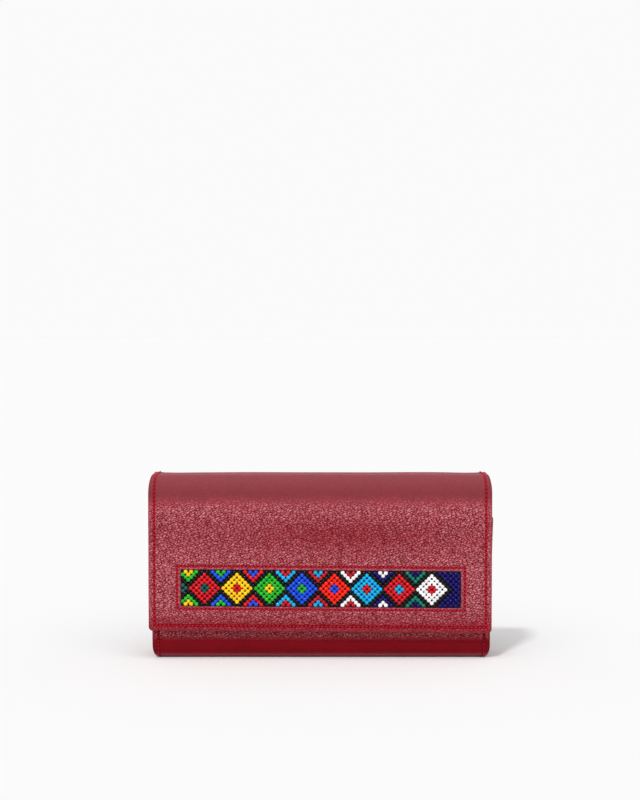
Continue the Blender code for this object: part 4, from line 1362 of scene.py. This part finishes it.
STITCH_SIDES = 6
STITCH_RINGS = 6
STITCH_STARTS, STITCH_ENDS = 0.12, 0.88
STITCH_END_WIDTH = 0.45
STITCH_RISE, STITCH_SINK = 0.62, 0.42
STITCH_LOOK_AHEAD = 0.05
PLY_SHEET = 0.02


def add_stitch(shape, start, end, surface, width):
    """One stitch from a hole to the next: it comes up out of the leather, lies on it and goes down."""
    rings = []
    for step in range(STITCH_RINGS + 1):
        share = step / STITCH_RINGS
        rise = math.sin(math.pi * share) ** 0.5
        radius = width / 2 * (STITCH_END_WIDTH + (1 - STITCH_END_WIDTH) * rise)
        lift = width * (STITCH_RISE * rise - STITCH_SINK)
        place = [start[axis] + (end[axis] - start[axis]) * share for axis in (0, 1)]
        ahead = [place[axis] + (end[axis] - start[axis]) * STITCH_LOOK_AHEAD for axis in (0, 1)]
        centre = surface(*place, -lift)
        outward = (surface(*place, -lift - MM) - centre).normalized()
        across = (surface(*ahead, -lift) - centre).cross(outward).normalized()
        ring = []
        for corner in range(STITCH_SIDES):
            angle = 2 * math.pi * corner / STITCH_SIDES
            spoke = outward * math.cos(angle) + across * math.sin(angle)
            sheet = (share * PLY_SHEET, corner / STITCH_SIDES * PLY_SHEET)
            corner_place = centre + spoke * radius
            corner_place.z = max(corner_place.z, 0.0)
            ring.append(shape.point(corner_place, sheet))
        rings.append(ring)
    shape.loft(rings)


def add_seam(shape, start, end, surface, sizes):
    """A row of stitches between two sheet coordinates."""
    length = math.dist(start, end)
    count = max(1, round(length / sizes.stitch_pitch))
    for number in range(count):
        shares = ((number + STITCH_STARTS) / count, (number + STITCH_ENDS) / count)
        ends = [[start[axis] + (end[axis] - start[axis]) * share for axis in (0, 1)] for share in shares]
        add_stitch(shape, ends[0], ends[1], surface, sizes.thread_width)


def build_cover_stitching(sizes, material, pouch_material):
    """The seams of the flap and its window, and the darker ones of the pouch."""
    inset = sizes.seam_inset
    reach = FLAP_HALF - inset
    hem = FLAP_RUN.length - inset
    shape = Shape()
    for side in (-1, 1):
        add_seam(shape, (side * reach, 0.0), (side * reach, hem), flap_point, sizes)
    add_seam(shape, (-reach, hem), (reach, hem), flap_point, sizes)
    made = shape.make("flap_stitching", [material])
    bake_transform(made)

    shape = Shape()
    width = WINDOW_HALF_WIDTH + sizes.window_seam_inset
    height = WINDOW_HALF_HEIGHT + sizes.window_seam_inset - SEAM_RAISE
    corners = [
        (WINDOW_X + u * width, SEAM_ALONG + v * height) for u, v in ((-1, -1), (1, -1), (1, 1), (-1, 1))
    ]
    for place in range(4):
        add_seam(shape, corners[place], corners[(place + 1) % 4], flap_point, sizes)
    made = shape.make("window_stitching", [material])
    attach(made, "flap")

    shape = Shape()
    reach = COVER_HALF - inset
    for side in (-1, 1):
        add_seam(shape, (side * reach, inset), (side * reach, POUCH_RUN.length), pouch_point, sizes)
    add_seam(shape, (-reach, inset), (reach, inset), pouch_point, sizes)
    made = shape.make("pouch_stitching", [pouch_material])
    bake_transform(made)


# Card slots and coin pocket


CARD_STRIP_COUNT = 4
CARD_SEAM_INSET = 2.2 * MM
CARD_EDGE_CREASE = 1.6 * MM
CARD_CREASE_SPREAD = 0.25 * MM
CARD_PRESS_SPREAD = 1.6 * MM
CARD_FULLNESS = 0.16 * MM
CARD_GROOVE_SPREAD = 0.3 * MM
CARD_LINE_DEPTH = 0.1 * MM
CARD_SEAM_BELOW_TOP = 0.8 * MM
CARD_SEAM_ABOVE_NEXT = 0.3 * MM


def build_card_pockets(material, thread, sizes):
    """A back panel and stepped slots, sewn down the middle and the sides."""
    shape = Shape()
    seams = Shape()
    half = CARD_HIGH.x
    seam_columns = [CARD_SEAM_INSET - half, 0.0, half - CARD_SEAM_INSET]
    names = ["card_panel"] + [f"card_slot_{number + 1}" for number in range(CARD_STRIP_COUNT)]

    def near_seam(x, spread):
        return max(bell(abs(x) - (half - CARD_SEAM_INSET), spread), bell(x, spread))

    for number, name in enumerate(names):
        low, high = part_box(name)
        thickness = high.y - low.y
        roll = (thickness - EDGE_FLAT) / 2

        def surface(x, z, depth):
            press = near_seam(x, CARD_PRESS_SPREAD)
            fullness = CARD_FULLNESS * (1 - press) * (1 if number else 0)
            return Vector((x, low.y - fullness + depth, z))

        def place(x, z, inner):
            top = high.z - z
            border = min(half - abs(x), top)
            drop = edge_drop(max(0.0, border), roll)
            crease = bell(top - CARD_EDGE_CREASE, CARD_CREASE_SPREAD) * CARD_LINE_DEPTH
            groove = near_seam(x, CARD_GROOVE_SPREAD) * CARD_LINE_DEPTH
            depth = thickness - drop if inner else drop + crease + groove
            return surface(x, z, depth), on_sheet(x, z), 0.8

        columns = spaced_lines(-half, half, WIDE_STEP, edges=[-half, half], seams=seam_columns)
        rows = spaced_lines(low.z, high.z, WIDE_STEP, edges=[high.z], seams=[high.z - CARD_EDGE_CREASE])
        grid_sheet(shape, columns, rows, place)
        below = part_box(names[number + 1])[1].z if number < CARD_STRIP_COUNT else low.z
        for x in seam_columns:
            start, end = high.z - CARD_SEAM_BELOW_TOP, below + CARD_SEAM_ABOVE_NEXT
            add_seam(seams, (x, start), (x, end), surface, sizes)
    made = shape.make("card_pockets", [material])
    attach(made, "pouch")
    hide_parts(*names)
    stitched = seams.make("card_stitching", [thread])
    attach(stitched, "pouch")


COIN_LEAF = 0.9 * MM
COIN_SEAM_BELOW_TOP = 2.6 * MM
COIN_SEAM_INSET = 2 * MM
COIN_GROOVE_SPREAD = 0.3 * MM
COIN_GROOVE_DEPTH = 0.12 * MM


def build_coin_pocket(material, thread, sizes):
    """A folded pocket, open at the top for the zipper."""
    radius = (COIN_HIGH.y - COIN_LOW.y) / 2
    half = COIN_HIGH.x
    run = Run()
    centre = (COIN_Y, COIN_LOW.z + radius)
    run.line((COIN_LOW.y, COIN_HIGH.z), (COIN_LOW.y, centre[1]), FRONT)
    run.bend(centre, radius, FRONT, BACK)
    run.line((COIN_HIGH.y, centre[1]), (COIN_HIGH.y, COIN_HIGH.z), BACK)
    end = run.length
    roll = (COIN_LEAF - EDGE_FLAT) / 2

    def surface(x, along, depth):
        y, z, facing = run.at(along)
        return Vector((x, y - depth * math.cos(facing), z - depth * math.sin(facing)))

    def place(x, along, inner):
        top = min(along, end - along)
        drop = edge_drop(min(half - abs(x), top), roll)
        seam = bell(top - COIN_SEAM_BELOW_TOP, COIN_GROOVE_SPREAD) * COIN_GROOVE_DEPTH
        depth = COIN_LEAF - drop if inner else drop + seam
        return surface(x, along, depth), on_sheet(x, along), 0.8

    shape = Shape()
    columns = spaced_lines(-half, half, WIDE_STEP, edges=[-half, half])
    seams = [COIN_SEAM_BELOW_TOP, end - COIN_SEAM_BELOW_TOP]
    grid_sheet(shape, columns, spaced_lines(0.0, end, CLOSE_STEP, edges=[0.0, end], seams=seams), place)
    made = shape.make("coin_pocket_leather", [material])
    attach(made, "pouch")
    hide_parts("coin_pocket")
    sewn = Shape()
    for along in seams:
        add_seam(sewn, (COIN_SEAM_INSET - half, along), (half - COIN_SEAM_INSET, along), surface, sizes)
    stitched = sewn.make("coin_stitching", [thread])
    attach(stitched, "pouch")


# The zipper


TOOTH_PITCH = 2.5 * MM
TOOTH_WIDTH = 1.15 * MM
TOOTH_SOFT = 0.16 * MM
TOOTH_HEAD_HEIGHT = 0.82
TOOTH_CORNER_ORDER = (0, 1, 3, 2, 4, 5, 7, 6)
TAPE_THICKNESS = 0.5 * MM
TAPE_BEND = 0.7 * MM


def build_tape(name, side, material):
    """A woven tape that comes up inside the pocket and turns in under the teeth."""
    low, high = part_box("zip_tape_front")
    outer = COIN_Y - low.y
    lip = COIN_Y - high.y
    run = Run()
    run.line((-outer, low.z), (-outer, high.z - TAPE_BEND), FRONT)
    run.bend((-outer + TAPE_BEND, high.z - TAPE_BEND), TAPE_BEND, FRONT, UP)
    run.line((-outer + TAPE_BEND, high.z), (-lip, high.z), UP)

    def place(x, along, inner):
        y, z, facing = run.at(along)
        depth = TAPE_THICKNESS if inner else 0.0
        y -= depth * math.cos(facing)
        z -= depth * math.sin(facing)
        return Vector((x, COIN_Y - side * y, z)), on_sheet(x, along), 1.0

    shape = Shape()
    grid_sheet(shape, spaced_lines(low.x, high.x, WIDE_STEP), spaced_lines(0.0, run.length, TAPE_STEP), place)
    made = shape.make(name + "_weave", [material])
    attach(made, "pouch")
    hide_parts(name)


def add_tooth(shape, x, side, low, high):
    """A clasped tooth: wide jaws on the tape, a narrow neck and a rounded head with a nib."""
    reach = COIN_Y - low.y
    tip = high.y - COIN_Y
    outline = (
        (-reach, 0.42),
        (-reach + 0.35 * MM, 0.50),
        (-reach * 0.55, 0.50),
        (-reach * 0.30, 0.34),
        (-0.1 * MM, 0.34),
        (tip * 0.45, 0.50),
        (tip * 0.85, 0.42),
        (tip, 0.22),
    )
    middle = (low.z + high.z) / 2
    rings = []
    for y, half in outline:
        height = (high.z - low.z) / 2 * (1.0 if y < 0 else TOOTH_HEAD_HEIGHT)
        spread = TOOTH_WIDTH * half
        ring = []
        for u, v in ((-1, -1), (1, -1), (1, 1), (-1, 1)):
            ring.append((x + u * spread, middle + v * (height - TOOTH_SOFT)))
            ring.append((x + u * (spread - TOOTH_SOFT), middle + v * height))
        ring = [ring[place] for place in TOOTH_CORNER_ORDER]
        rings.append([shape.point((px, COIN_Y - side * y, pz), on_sheet(px, y)) for px, pz in ring])
    shape.loft(rings)


def build_teeth(name, side, phase, material):
    """One row of teeth, which stand between those of the other row."""
    low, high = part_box("zip_teeth_front")
    seated = Vector((low.x, low.y, low.z - SEAT))
    count = round((high.x - low.x) / TOOTH_PITCH)
    shape = Shape()
    for tooth in range(count):
        add_tooth(shape, low.x + (tooth + phase) * TOOTH_PITCH, side, seated, high)
    made = shape.make(name + "_row", [material], 40.0)
    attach(made, "pouch")
    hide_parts(name)


BEVEL_FROM_ANGLE = 0.6


def bevelled(name, outline_rings, material, width):
    """A solid from rings, with its edges rounded."""
    shape = Shape()
    rings = [[shape.point(Vector(place)) for place in ring] for ring in outline_rings]
    shape.loft(rings)
    made = shape.make(name, [material], 35.0)

    def round_edges(worked):
        shared = [edge for edge in worked.edges if len(edge.link_faces) == 2]
        edges = [edge for edge in shared if edge.calc_face_angle() > BEVEL_FROM_ANGLE]
        bmesh.ops.bevel(worked, geom=edges, offset=width, segments=3, profile=0.5, affect="EDGES")

    rework(made.data, round_edges)
    made.data.shade_smooth()
    made.data.set_sharp_from_angle(angle=math.radians(45.0))
    return made


SLIDER_UNDER_BRIDGE = 2.3 * MM
SLIDER_LIP = 0.7 * MM
SLIDER_PLATE = 0.9 * MM
SLIDER_STEPS = 8
BRIDGE_SINK = 0.3 * MM
BRIDGE_HALF_WIDTH = 0.7 * MM
BRIDGE_STEPS = 24


def build_slider(material):
    """The slider: a saddle with a blunt nose over both rows, and a bridge for the pull."""
    low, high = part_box("zip_slider")
    top = high.z - SLIDER_UNDER_BRIDGE
    wide = (high.y - low.y) / 2
    channel = wide - SLIDER_LIP
    profile = (
        (-wide, low.z),
        (-channel, low.z),
        (-channel, top - SLIDER_PLATE),
        (channel, top - SLIDER_PLATE),
        (channel, low.z),
        (wide, low.z),
        (wide, top),
        (-wide, top),
    )
    rings = []
    for step in range(SLIDER_STEPS + 1):
        share = step / SLIDER_STEPS
        x = low.x + (high.x - low.x) * share
        narrow = 1.0 - 0.05 * smooth_step(share, 0.45, 0.0) - 0.05 * smooth_step(share, 0.55, 1.0)
        rings.append([(x, COIN_Y + y * (narrow if abs(y) > channel else 1.0), z) for y, z in profile])
    body = bevelled("slider_body", rings, material, 0.22 * MM)
    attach(body, "slider")
    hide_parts("zip_slider")

    middle = (low.x + high.x) / 2
    bridge = Run()
    half, bar = 2.1 * MM, 0.7 * MM
    bend = 1.1 * MM
    bridge.line((middle - half, top - BRIDGE_SINK), (middle - half, high.z - bend), FRONT)
    bridge.bend((middle - half + bend, high.z - bend), bend, FRONT, UP)
    bridge.line((middle - half + bend, high.z), (middle + half - bend, high.z), UP)
    bridge.bend((middle + half - bend, high.z - bend), bend, UP, 0.0)
    bridge.line((middle + half, high.z - bend), (middle + half, top - BRIDGE_SINK), 0.0)
    rings = []
    for step in range(BRIDGE_STEPS + 1):
        x, z, facing = bridge.at(bridge.length * step / BRIDGE_STEPS)
        inner_x, inner_z = x - bar * math.cos(facing), z - bar * math.sin(facing)
        rings.append(
            [
                (x, COIN_Y - BRIDGE_HALF_WIDTH, z),
                (x, COIN_Y + BRIDGE_HALF_WIDTH, z),
                (inner_x, COIN_Y + BRIDGE_HALF_WIDTH, inner_z),
                (inner_x, COIN_Y - BRIDGE_HALF_WIDTH, inner_z),
            ]
        )
    arch = bevelled("slider_bridge", rings, material, 0.16 * MM)
    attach(arch, "slider")


PULL_STEPS = 44
PULL_ROOT_ROUND_MM = 0.8
PULL_WAIST, PULL_WAIST_SPREAD = 5.6 * MM, 1.6 * MM
PULL_RIBS = (8.6 * MM, 10.0 * MM)
PULL_RIB_DEPTH, PULL_RIB_SPREAD = 0.10 * MM, 0.3 * MM


def build_pull(material):
    """The pull: a flat tag with a slot at its root, a waist and a rounded, ribbed tip."""
    low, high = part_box("zip_pull")
    length = high.x - low.x
    half = (high.y - low.y) / 2
    shape = Shape()
    slot_start, slot_end, slot_half = 0.9 * MM, 3.9 * MM, 1.0 * MM

    def half_width(along):
        tip = length - along
        width = half * (1 - 0.16 * bell(along - PULL_WAIST, PULL_WAIST_SPREAD))
        if tip < half:
            width *= math.sqrt(max(0.0, 1 - ((half - tip) / half) ** 2)) * 0.999 + 0.001
        if along < PULL_ROOT_ROUND_MM * MM:
            before = PULL_ROOT_ROUND_MM - along / MM
            kept = math.sqrt(max(0.0, PULL_ROOT_ROUND_MM**2 - before**2))
            width -= (PULL_ROOT_ROUND_MM - kept) * MM
        return width

    def thickness(along, share):
        rib = PULL_RIB_DEPTH * sum(bell(along - place, PULL_RIB_SPREAD) for place in PULL_RIBS)
        rim = 0.45 * MM - edge_drop((1 - abs(share)) * half, 0.22 * MM)
        return rim - rib * (1 if abs(share) < 0.8 else 0)

    columns = [length * step / PULL_STEPS for step in range(PULL_STEPS + 1)]
    for value in (slot_start, slot_end):
        nearest = min(range(len(columns)), key=lambda number: abs(columns[number] - value))
        columns[nearest] = value
    shares = [-1, -0.97, -0.92, -0.8, -0.6, -slot_half / half, 0, slot_half / half, 0.6, 0.8, 0.92, 0.97, 1]
    middle = (low.z + high.z) / 2

    def place(along, share, inner):
        z = middle + thickness(along, share) * (-1 if inner else 1)
        return Vector((low.x + along, COIN_Y + share * half_width(along), z)), (along * 10, share), 1.0

    def in_slot(along, share):
        return slot_start < along < slot_end and abs(share) < slot_half / half

    grid_sheet(shape, columns, shares, place, in_slot)
    made = shape.make("pull_tag", [material], 40.0)
    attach(made, "pull")
    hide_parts("zip_pull")


# The magnetic snap


TURNED_SIDES = 48


def turned_piece(name, outline, x, z, material):
    """A piece turned round a level axis, from distances out and places along Y."""
    shape = Shape()
    rings = []
    for step in range(TURNED_SIDES):
        angle = 2 * math.pi * step / TURNED_SIDES
        rings.append(
            [shape.point((x + out * math.cos(angle), y, z + out * math.sin(angle))) for out, y in outline]
        )
    following = outline[1:] + outline[:1]
    on_axis = [place for place, ends in enumerate(zip(outline, following)) if ends[0][0] == ends[1][0] == 0]
    shape.wrap(rings, skipped=on_axis)
    made = shape.make(name, [material], 40.0)

    def close_centre(worked):
        bmesh.ops.remove_doubles(worked, verts=worked.verts, dist=0.001 * MM)
        bmesh.ops.dissolve_degenerate(worked, edges=worked.edges, dist=0.001 * MM)
        face_outwards(worked)

    rework(made.data, close_centre)
    return made


def build_snap(material):
    """A ring with a dished face on the pouch, and a plate with a nub on the flap's lining."""
    x = (SOCKET_LOW.x + SOCKET_HIGH.x) / 2
    z = (SOCKET_LOW.z + SOCKET_HIGH.z) / 2
    radius = (SOCKET_HIGH.x - SOCKET_LOW.x) / 2
    front, back = SOCKET_LOW.y, SOCKET_HIGH.y
    hole = 3.2 * MM
    ring = (
        (radius, back),
        (radius, front + 0.35 * MM),
        (radius - 0.12 * MM, front + 0.1 * MM),
        (radius - 0.4 * MM, front),
        (radius - 1.3 * MM, front),
        (radius - 1.6 * MM, front + 0.15 * MM),
        (hole + 0.9 * MM, front + 0.15 * MM),
        (hole + 0.6 * MM, front),
        (hole + 0.2 * MM, front),
        (hole, front + 0.2 * MM),
        (hole, back),
    )
    socket = turned_piece("snap_ring", ring, x, z, material)
    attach(socket, "pouch")
    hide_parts("snap_socket")
    front = STUD_LOW.y
    plate = front + 0.6 * MM
    tip = STUD_HIGH.y
    nub = 2.7 * MM
    stud_outline = (
        (0.0, front),
        (radius, front),
        (radius, plate - 0.25 * MM),
        (radius - 0.25 * MM, plate),
        (nub + 0.3 * MM, plate),
        (nub, plate + 0.2 * MM),
        (nub, tip - 0.3 * MM),
        (nub - 0.3 * MM, tip),
        (0.0, tip),
    )
    stud = turned_piece("snap_plate", stud_outline, x, z, material)
    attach(stud, "flap")
    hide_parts("snap_stud")


# Stage


CAMERA_PLACE = (-0.0001, -1.205, 0.219)
CAMERA_PITCH_DEG = 86.592
CAMERA_LENS = 94.9
FLOOR_HALF = 6.0
SUN_ELEVATION_DEG = 50.0
SUN_FROM_LEFT_DEG = 22.0
SUN_ANGLE_DEG = 6.0
SUN_STRENGTH = 1.19
FILL_ELEVATION_DEG = 54.1
FILL_ANGLE_DEG = 70.0
FILL_STRENGTH = 1.37
WORLD_STRENGTH = 0.43
BACKGROUND = (0.956, 0.956, 0.956, 1.0)


def build_floor(colour):
    """A wide pale floor that keeps the wallet's shadow."""
    shape = Shape()
    corners = ((-1, -1), (1, -1), (1, 1), (-1, 1))
    shape.face([shape.point((u * FLOOR_HALF, v * FLOOR_HALF, 0.0)) for u, v in corners])
    material, tree, shader = new_material("floor_paper")
    cloud = noise_value(tree, object_millimetres(tree), 0.02, 2.0)
    low, high = scaled_colour(colour, 0.999), scaled_colour(colour, 1.001)
    tree.links.new(mix_colour(tree, cloud, low, high), shader.inputs["Base Color"])
    shader.inputs["Roughness"].default_value = 1.0
    shader.inputs["Specular IOR Level"].default_value = 0.0
    floor = shape.make("floor", [material])
    floor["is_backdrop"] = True


def build_world():
    """A white room that the camera and reflections see as the pale background."""
    world = bpy.data.worlds.new("white_room")
    bpy.context.scene.world = world
    world.use_nodes = True
    tree = world.node_tree
    background = tree.nodes["Background"]
    background.inputs["Color"].default_value = (1.0, 1.0, 1.0, 1.0)
    background.inputs["Strength"].default_value = WORLD_STRENGTH
    seen = add(tree, "ShaderNodeBackground", {"Color": BACKGROUND, "Strength": 1.0})
    rays = add(tree, "ShaderNodeLightPath")
    mirrored = math_node(
        tree, "MAXIMUM", rays.outputs["Is Camera Ray"], rays.outputs["Is Transmission Ray"]
    )
    mirrored = math_node(tree, "MAXIMUM", mirrored, rays.outputs["Is Glossy Ray"])
    mixed = add(tree, "ShaderNodeMixShader", {0: mirrored, 1: background.outputs[0], 2: seen.outputs[0]})
    tree.links.new(mixed.outputs[0], tree.nodes["World Output"].inputs["Surface"])


def build_lamp(name, strength, angle, elevation, from_left):
    lamp = bpy.data.lights.new(name, "SUN")
    lamp.energy = strength
    lamp.angle = math.radians(angle)
    made = bpy.data.objects.new(name, lamp)
    bpy.context.scene.collection.objects.link(made)
    made.rotation_euler = (math.radians(90.0 - elevation), 0.0, math.radians(-from_left))


def build_lamps():
    """A key lamp above the camera's left shoulder and a broad fill from above the camera."""
    build_lamp("key_lamp", SUN_STRENGTH, SUN_ANGLE_DEG, SUN_ELEVATION_DEG, SUN_FROM_LEFT_DEG)
    build_lamp("fill_lamp", FILL_STRENGTH, FILL_ANGLE_DEG, FILL_ELEVATION_DEG, 0.0)


def build_camera():
    lens = bpy.data.cameras.new("camera")
    lens.lens = CAMERA_LENS
    lens.sensor_width = 36.0
    lens.clip_end = 50.0
    camera = bpy.data.objects.new("camera", lens)
    bpy.context.scene.collection.objects.link(camera)
    camera.location = CAMERA_PLACE
    camera.rotation_euler = (math.radians(CAMERA_PITCH_DEG), 0.0, 0.0)
    bpy.context.scene.camera = camera


# Operators, panel and registration


def wallet_material(name):
    """One of the wallet's finishes, made the first time that a piece asks for it."""
    if name in bpy.data.materials:
        return bpy.data.materials[name]
    colours = bpy.context.scene.wallet_colours
    cell = bpy.context.scene.wallet_sizes.grain_cell
    makers = {
        "cover_leather": lambda: leather_finish(
            name, colours.leather, colours.painted_sheen, cell, depth=0.55, roughness=0.55
        ),
        "pocket_leather": lambda: leather_finish(
            name, colours.card, colours.painted_sheen, cell=0.7, depth=0.08, roughness=0.50
        ),
        "sewing_thread": lambda: thread_finish(name, colours.thread),
        "pouch_thread": lambda: thread_finish(name, colours.pouch_thread),
        "bead_thread": lambda: thread_finish(name, (0.03, 0.02, 0.02)),
        "lining_cloth": lambda: cloth_finish(name, colours.lining, 0.34, 0.06),
        # The cloth behind the beads is painted near black: painted shade in the gaps between the beads
        "ground_cloth": lambda: cloth_finish(name, (0.02, 0.008, 0.010), 0.5, 0.08),
        "tape_cloth": lambda: cloth_finish(name, colours.tape, 0.42, 0.10),
        "brass": lambda: metal_finish(name, colours.brass, 0.22),
        "nickel": lambda: metal_finish(name, colours.nickel, 0.24),
        "board": lambda: board_finish(name, (0.18, 0.13, 0.09)),
    }
    return makers[name]()


def finish_node(name, material):
    """Gives one of the frame's own pieces its finish."""
    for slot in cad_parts[name].material_slots:
        slot.material = material


class WALLET_OT_finishes(bpy.types.Operator):
    """Builds the grain, weave and handling node groups that the materials share"""

    bl_idname = "wallet.finishes"
    bl_label = "Shared finishes"

    def execute(self, context):
        build_grain_group()
        build_weave_group()
        build_handling_group()
        return {"FINISHED"}


class WALLET_OT_cover(bpy.types.Operator):
    """Builds the leather cover: the pouch and the flap with its window"""

    bl_idname = "wallet.cover"
    bl_label = "Leather cover"

    def execute(self, context):
        sizes = context.scene.wallet_sizes
        build_pouch_cover(sizes, wallet_material("cover_leather"))
        build_flap_cover(sizes, wallet_material("cover_leather"))
        return {"FINISHED"}


class WALLET_OT_lining(bpy.types.Operator):
    """Builds the lining of the pouch and of the flap"""

    bl_idname = "wallet.lining"
    bl_label = "Lining"

    def execute(self, context):
        build_linings(wallet_material("lining_cloth"))
        finish_node("flap_stiffener", wallet_material("board"))
        return {"FINISHED"}


class WALLET_OT_gussets(bpy.types.Operator):
    """Builds the two pleated side walls"""

    bl_idname = "wallet.gussets"
    bl_label = "Gussets"

    def execute(self, context):
        build_gusset("gusset_left", -1, wallet_material("cover_leather"))
        build_gusset("gusset_right", 1, wallet_material("cover_leather"))
        return {"FINISHED"}


class WALLET_OT_beads(bpy.types.Operator):
    """Weaves the bead panel from single glass beads"""

    bl_idname = "wallet.beads"
    bl_label = "Bead panel"

    def execute(self, context):
        glass = [glass_finish("glass_" + name, colour) for name, colour in BEAD_COLOURS.items()]
        sizes = context.scene.wallet_sizes
        build_bead_weave(sizes, glass, wallet_material("bead_thread"), wallet_material("ground_cloth"))
        return {"FINISHED"}


class WALLET_OT_stitching(bpy.types.Operator):
    """Sews the seams of the flap, its window and the pouch"""

    bl_idname = "wallet.stitching"
    bl_label = "Stitching"

    def execute(self, context):
        bright, dark = wallet_material("sewing_thread"), wallet_material("pouch_thread")
        build_cover_stitching(context.scene.wallet_sizes, bright, dark)
        return {"FINISHED"}


class WALLET_OT_pockets(bpy.types.Operator):
    """Builds the card slots and the coin pocket"""

    bl_idname = "wallet.pockets"
    bl_label = "Card slots and coin pocket"

    def execute(self, context):
        sizes = context.scene.wallet_sizes
        leather, thread = wallet_material("pocket_leather"), wallet_material("sewing_thread")
        build_card_pockets(leather, thread, sizes)
        build_coin_pocket(leather, thread, sizes)
        return {"FINISHED"}


class WALLET_OT_zipper(bpy.types.Operator):
    """Builds the coin pocket's zipper: tapes, teeth, stops, slider and pull"""

    bl_idname = "wallet.zipper"
    bl_label = "Zipper"

    def execute(self, context):
        brass = wallet_material("brass")
        build_tape("zip_tape_front", 1, wallet_material("tape_cloth"))
        build_tape("zip_tape_back", -1, wallet_material("tape_cloth"))
        build_teeth("zip_teeth_front", 1, 0.25, brass)
        build_teeth("zip_teeth_back", -1, 0.75, brass)
        finish_node("zip_stop_left", brass)
        finish_node("zip_stop_right", brass)
        build_slider(brass)
        build_pull(brass)
        return {"FINISHED"}


class WALLET_OT_snap(bpy.types.Operator):
    """Builds the two halves of the magnetic snap"""

    bl_idname = "wallet.snap"
    bl_label = "Snap"

    def execute(self, context):
        build_snap(wallet_material("nickel"))
        return {"FINISHED"}


class WALLET_OT_stage(bpy.types.Operator):
    """Sets the floor, the light and the camera"""

    bl_idname = "wallet.stage"
    bl_label = "Stage"

    def execute(self, context):
        context.scene.view_settings.view_transform = "Standard"
        build_floor(context.scene.wallet_colours.floor)
        build_world()
        build_lamps()
        build_camera()
        return {"FINISHED"}


STEPS = (
    "finishes",
    "cover",
    "lining",
    "gussets",
    "beads",
    "stitching",
    "pockets",
    "zipper",
    "snap",
    "stage",
)


class WALLET_PT_panel(bpy.types.Panel):
    """Lists the wallet's pieces, sizes and colours"""

    bl_idname = "WALLET_PT_panel"
    bl_label = "Beaded wallet"
    bl_space_type = "VIEW_3D"
    bl_region_type = "UI"
    bl_category = "Wallet"

    def draw(self, context):
        for step in STEPS:
            self.layout.operator("wallet." + step)
        for group in (context.scene.wallet_sizes, context.scene.wallet_colours):
            for name in group.__annotations__:
                self.layout.prop(group, name)


CLASSES = (
    WalletSizes,
    WalletColours,
    WALLET_OT_finishes,
    WALLET_OT_cover,
    WALLET_OT_lining,
    WALLET_OT_gussets,
    WALLET_OT_beads,
    WALLET_OT_stitching,
    WALLET_OT_pockets,
    WALLET_OT_zipper,
    WALLET_OT_snap,
    WALLET_OT_stage,
    WALLET_PT_panel,
)


def register():
    for kind in CLASSES:
        bpy.utils.register_class(kind)
    bpy.types.Scene.wallet_sizes = PointerProperty(type=WalletSizes)
    bpy.types.Scene.wallet_colours = PointerProperty(type=WalletColours)


def unregister():
    del bpy.types.Scene.wallet_colours
    del bpy.types.Scene.wallet_sizes
    for kind in reversed(CLASSES):
        bpy.utils.unregister_class(kind)


def main():
    register()
    for step in STEPS:
        getattr(bpy.ops.wallet, step)()
    for name, box in (("cad", CAD_BOX), ("visual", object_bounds())):
        [[float(value) for value in corner] for corner in box]


if __name__ == "__main__":
    main()
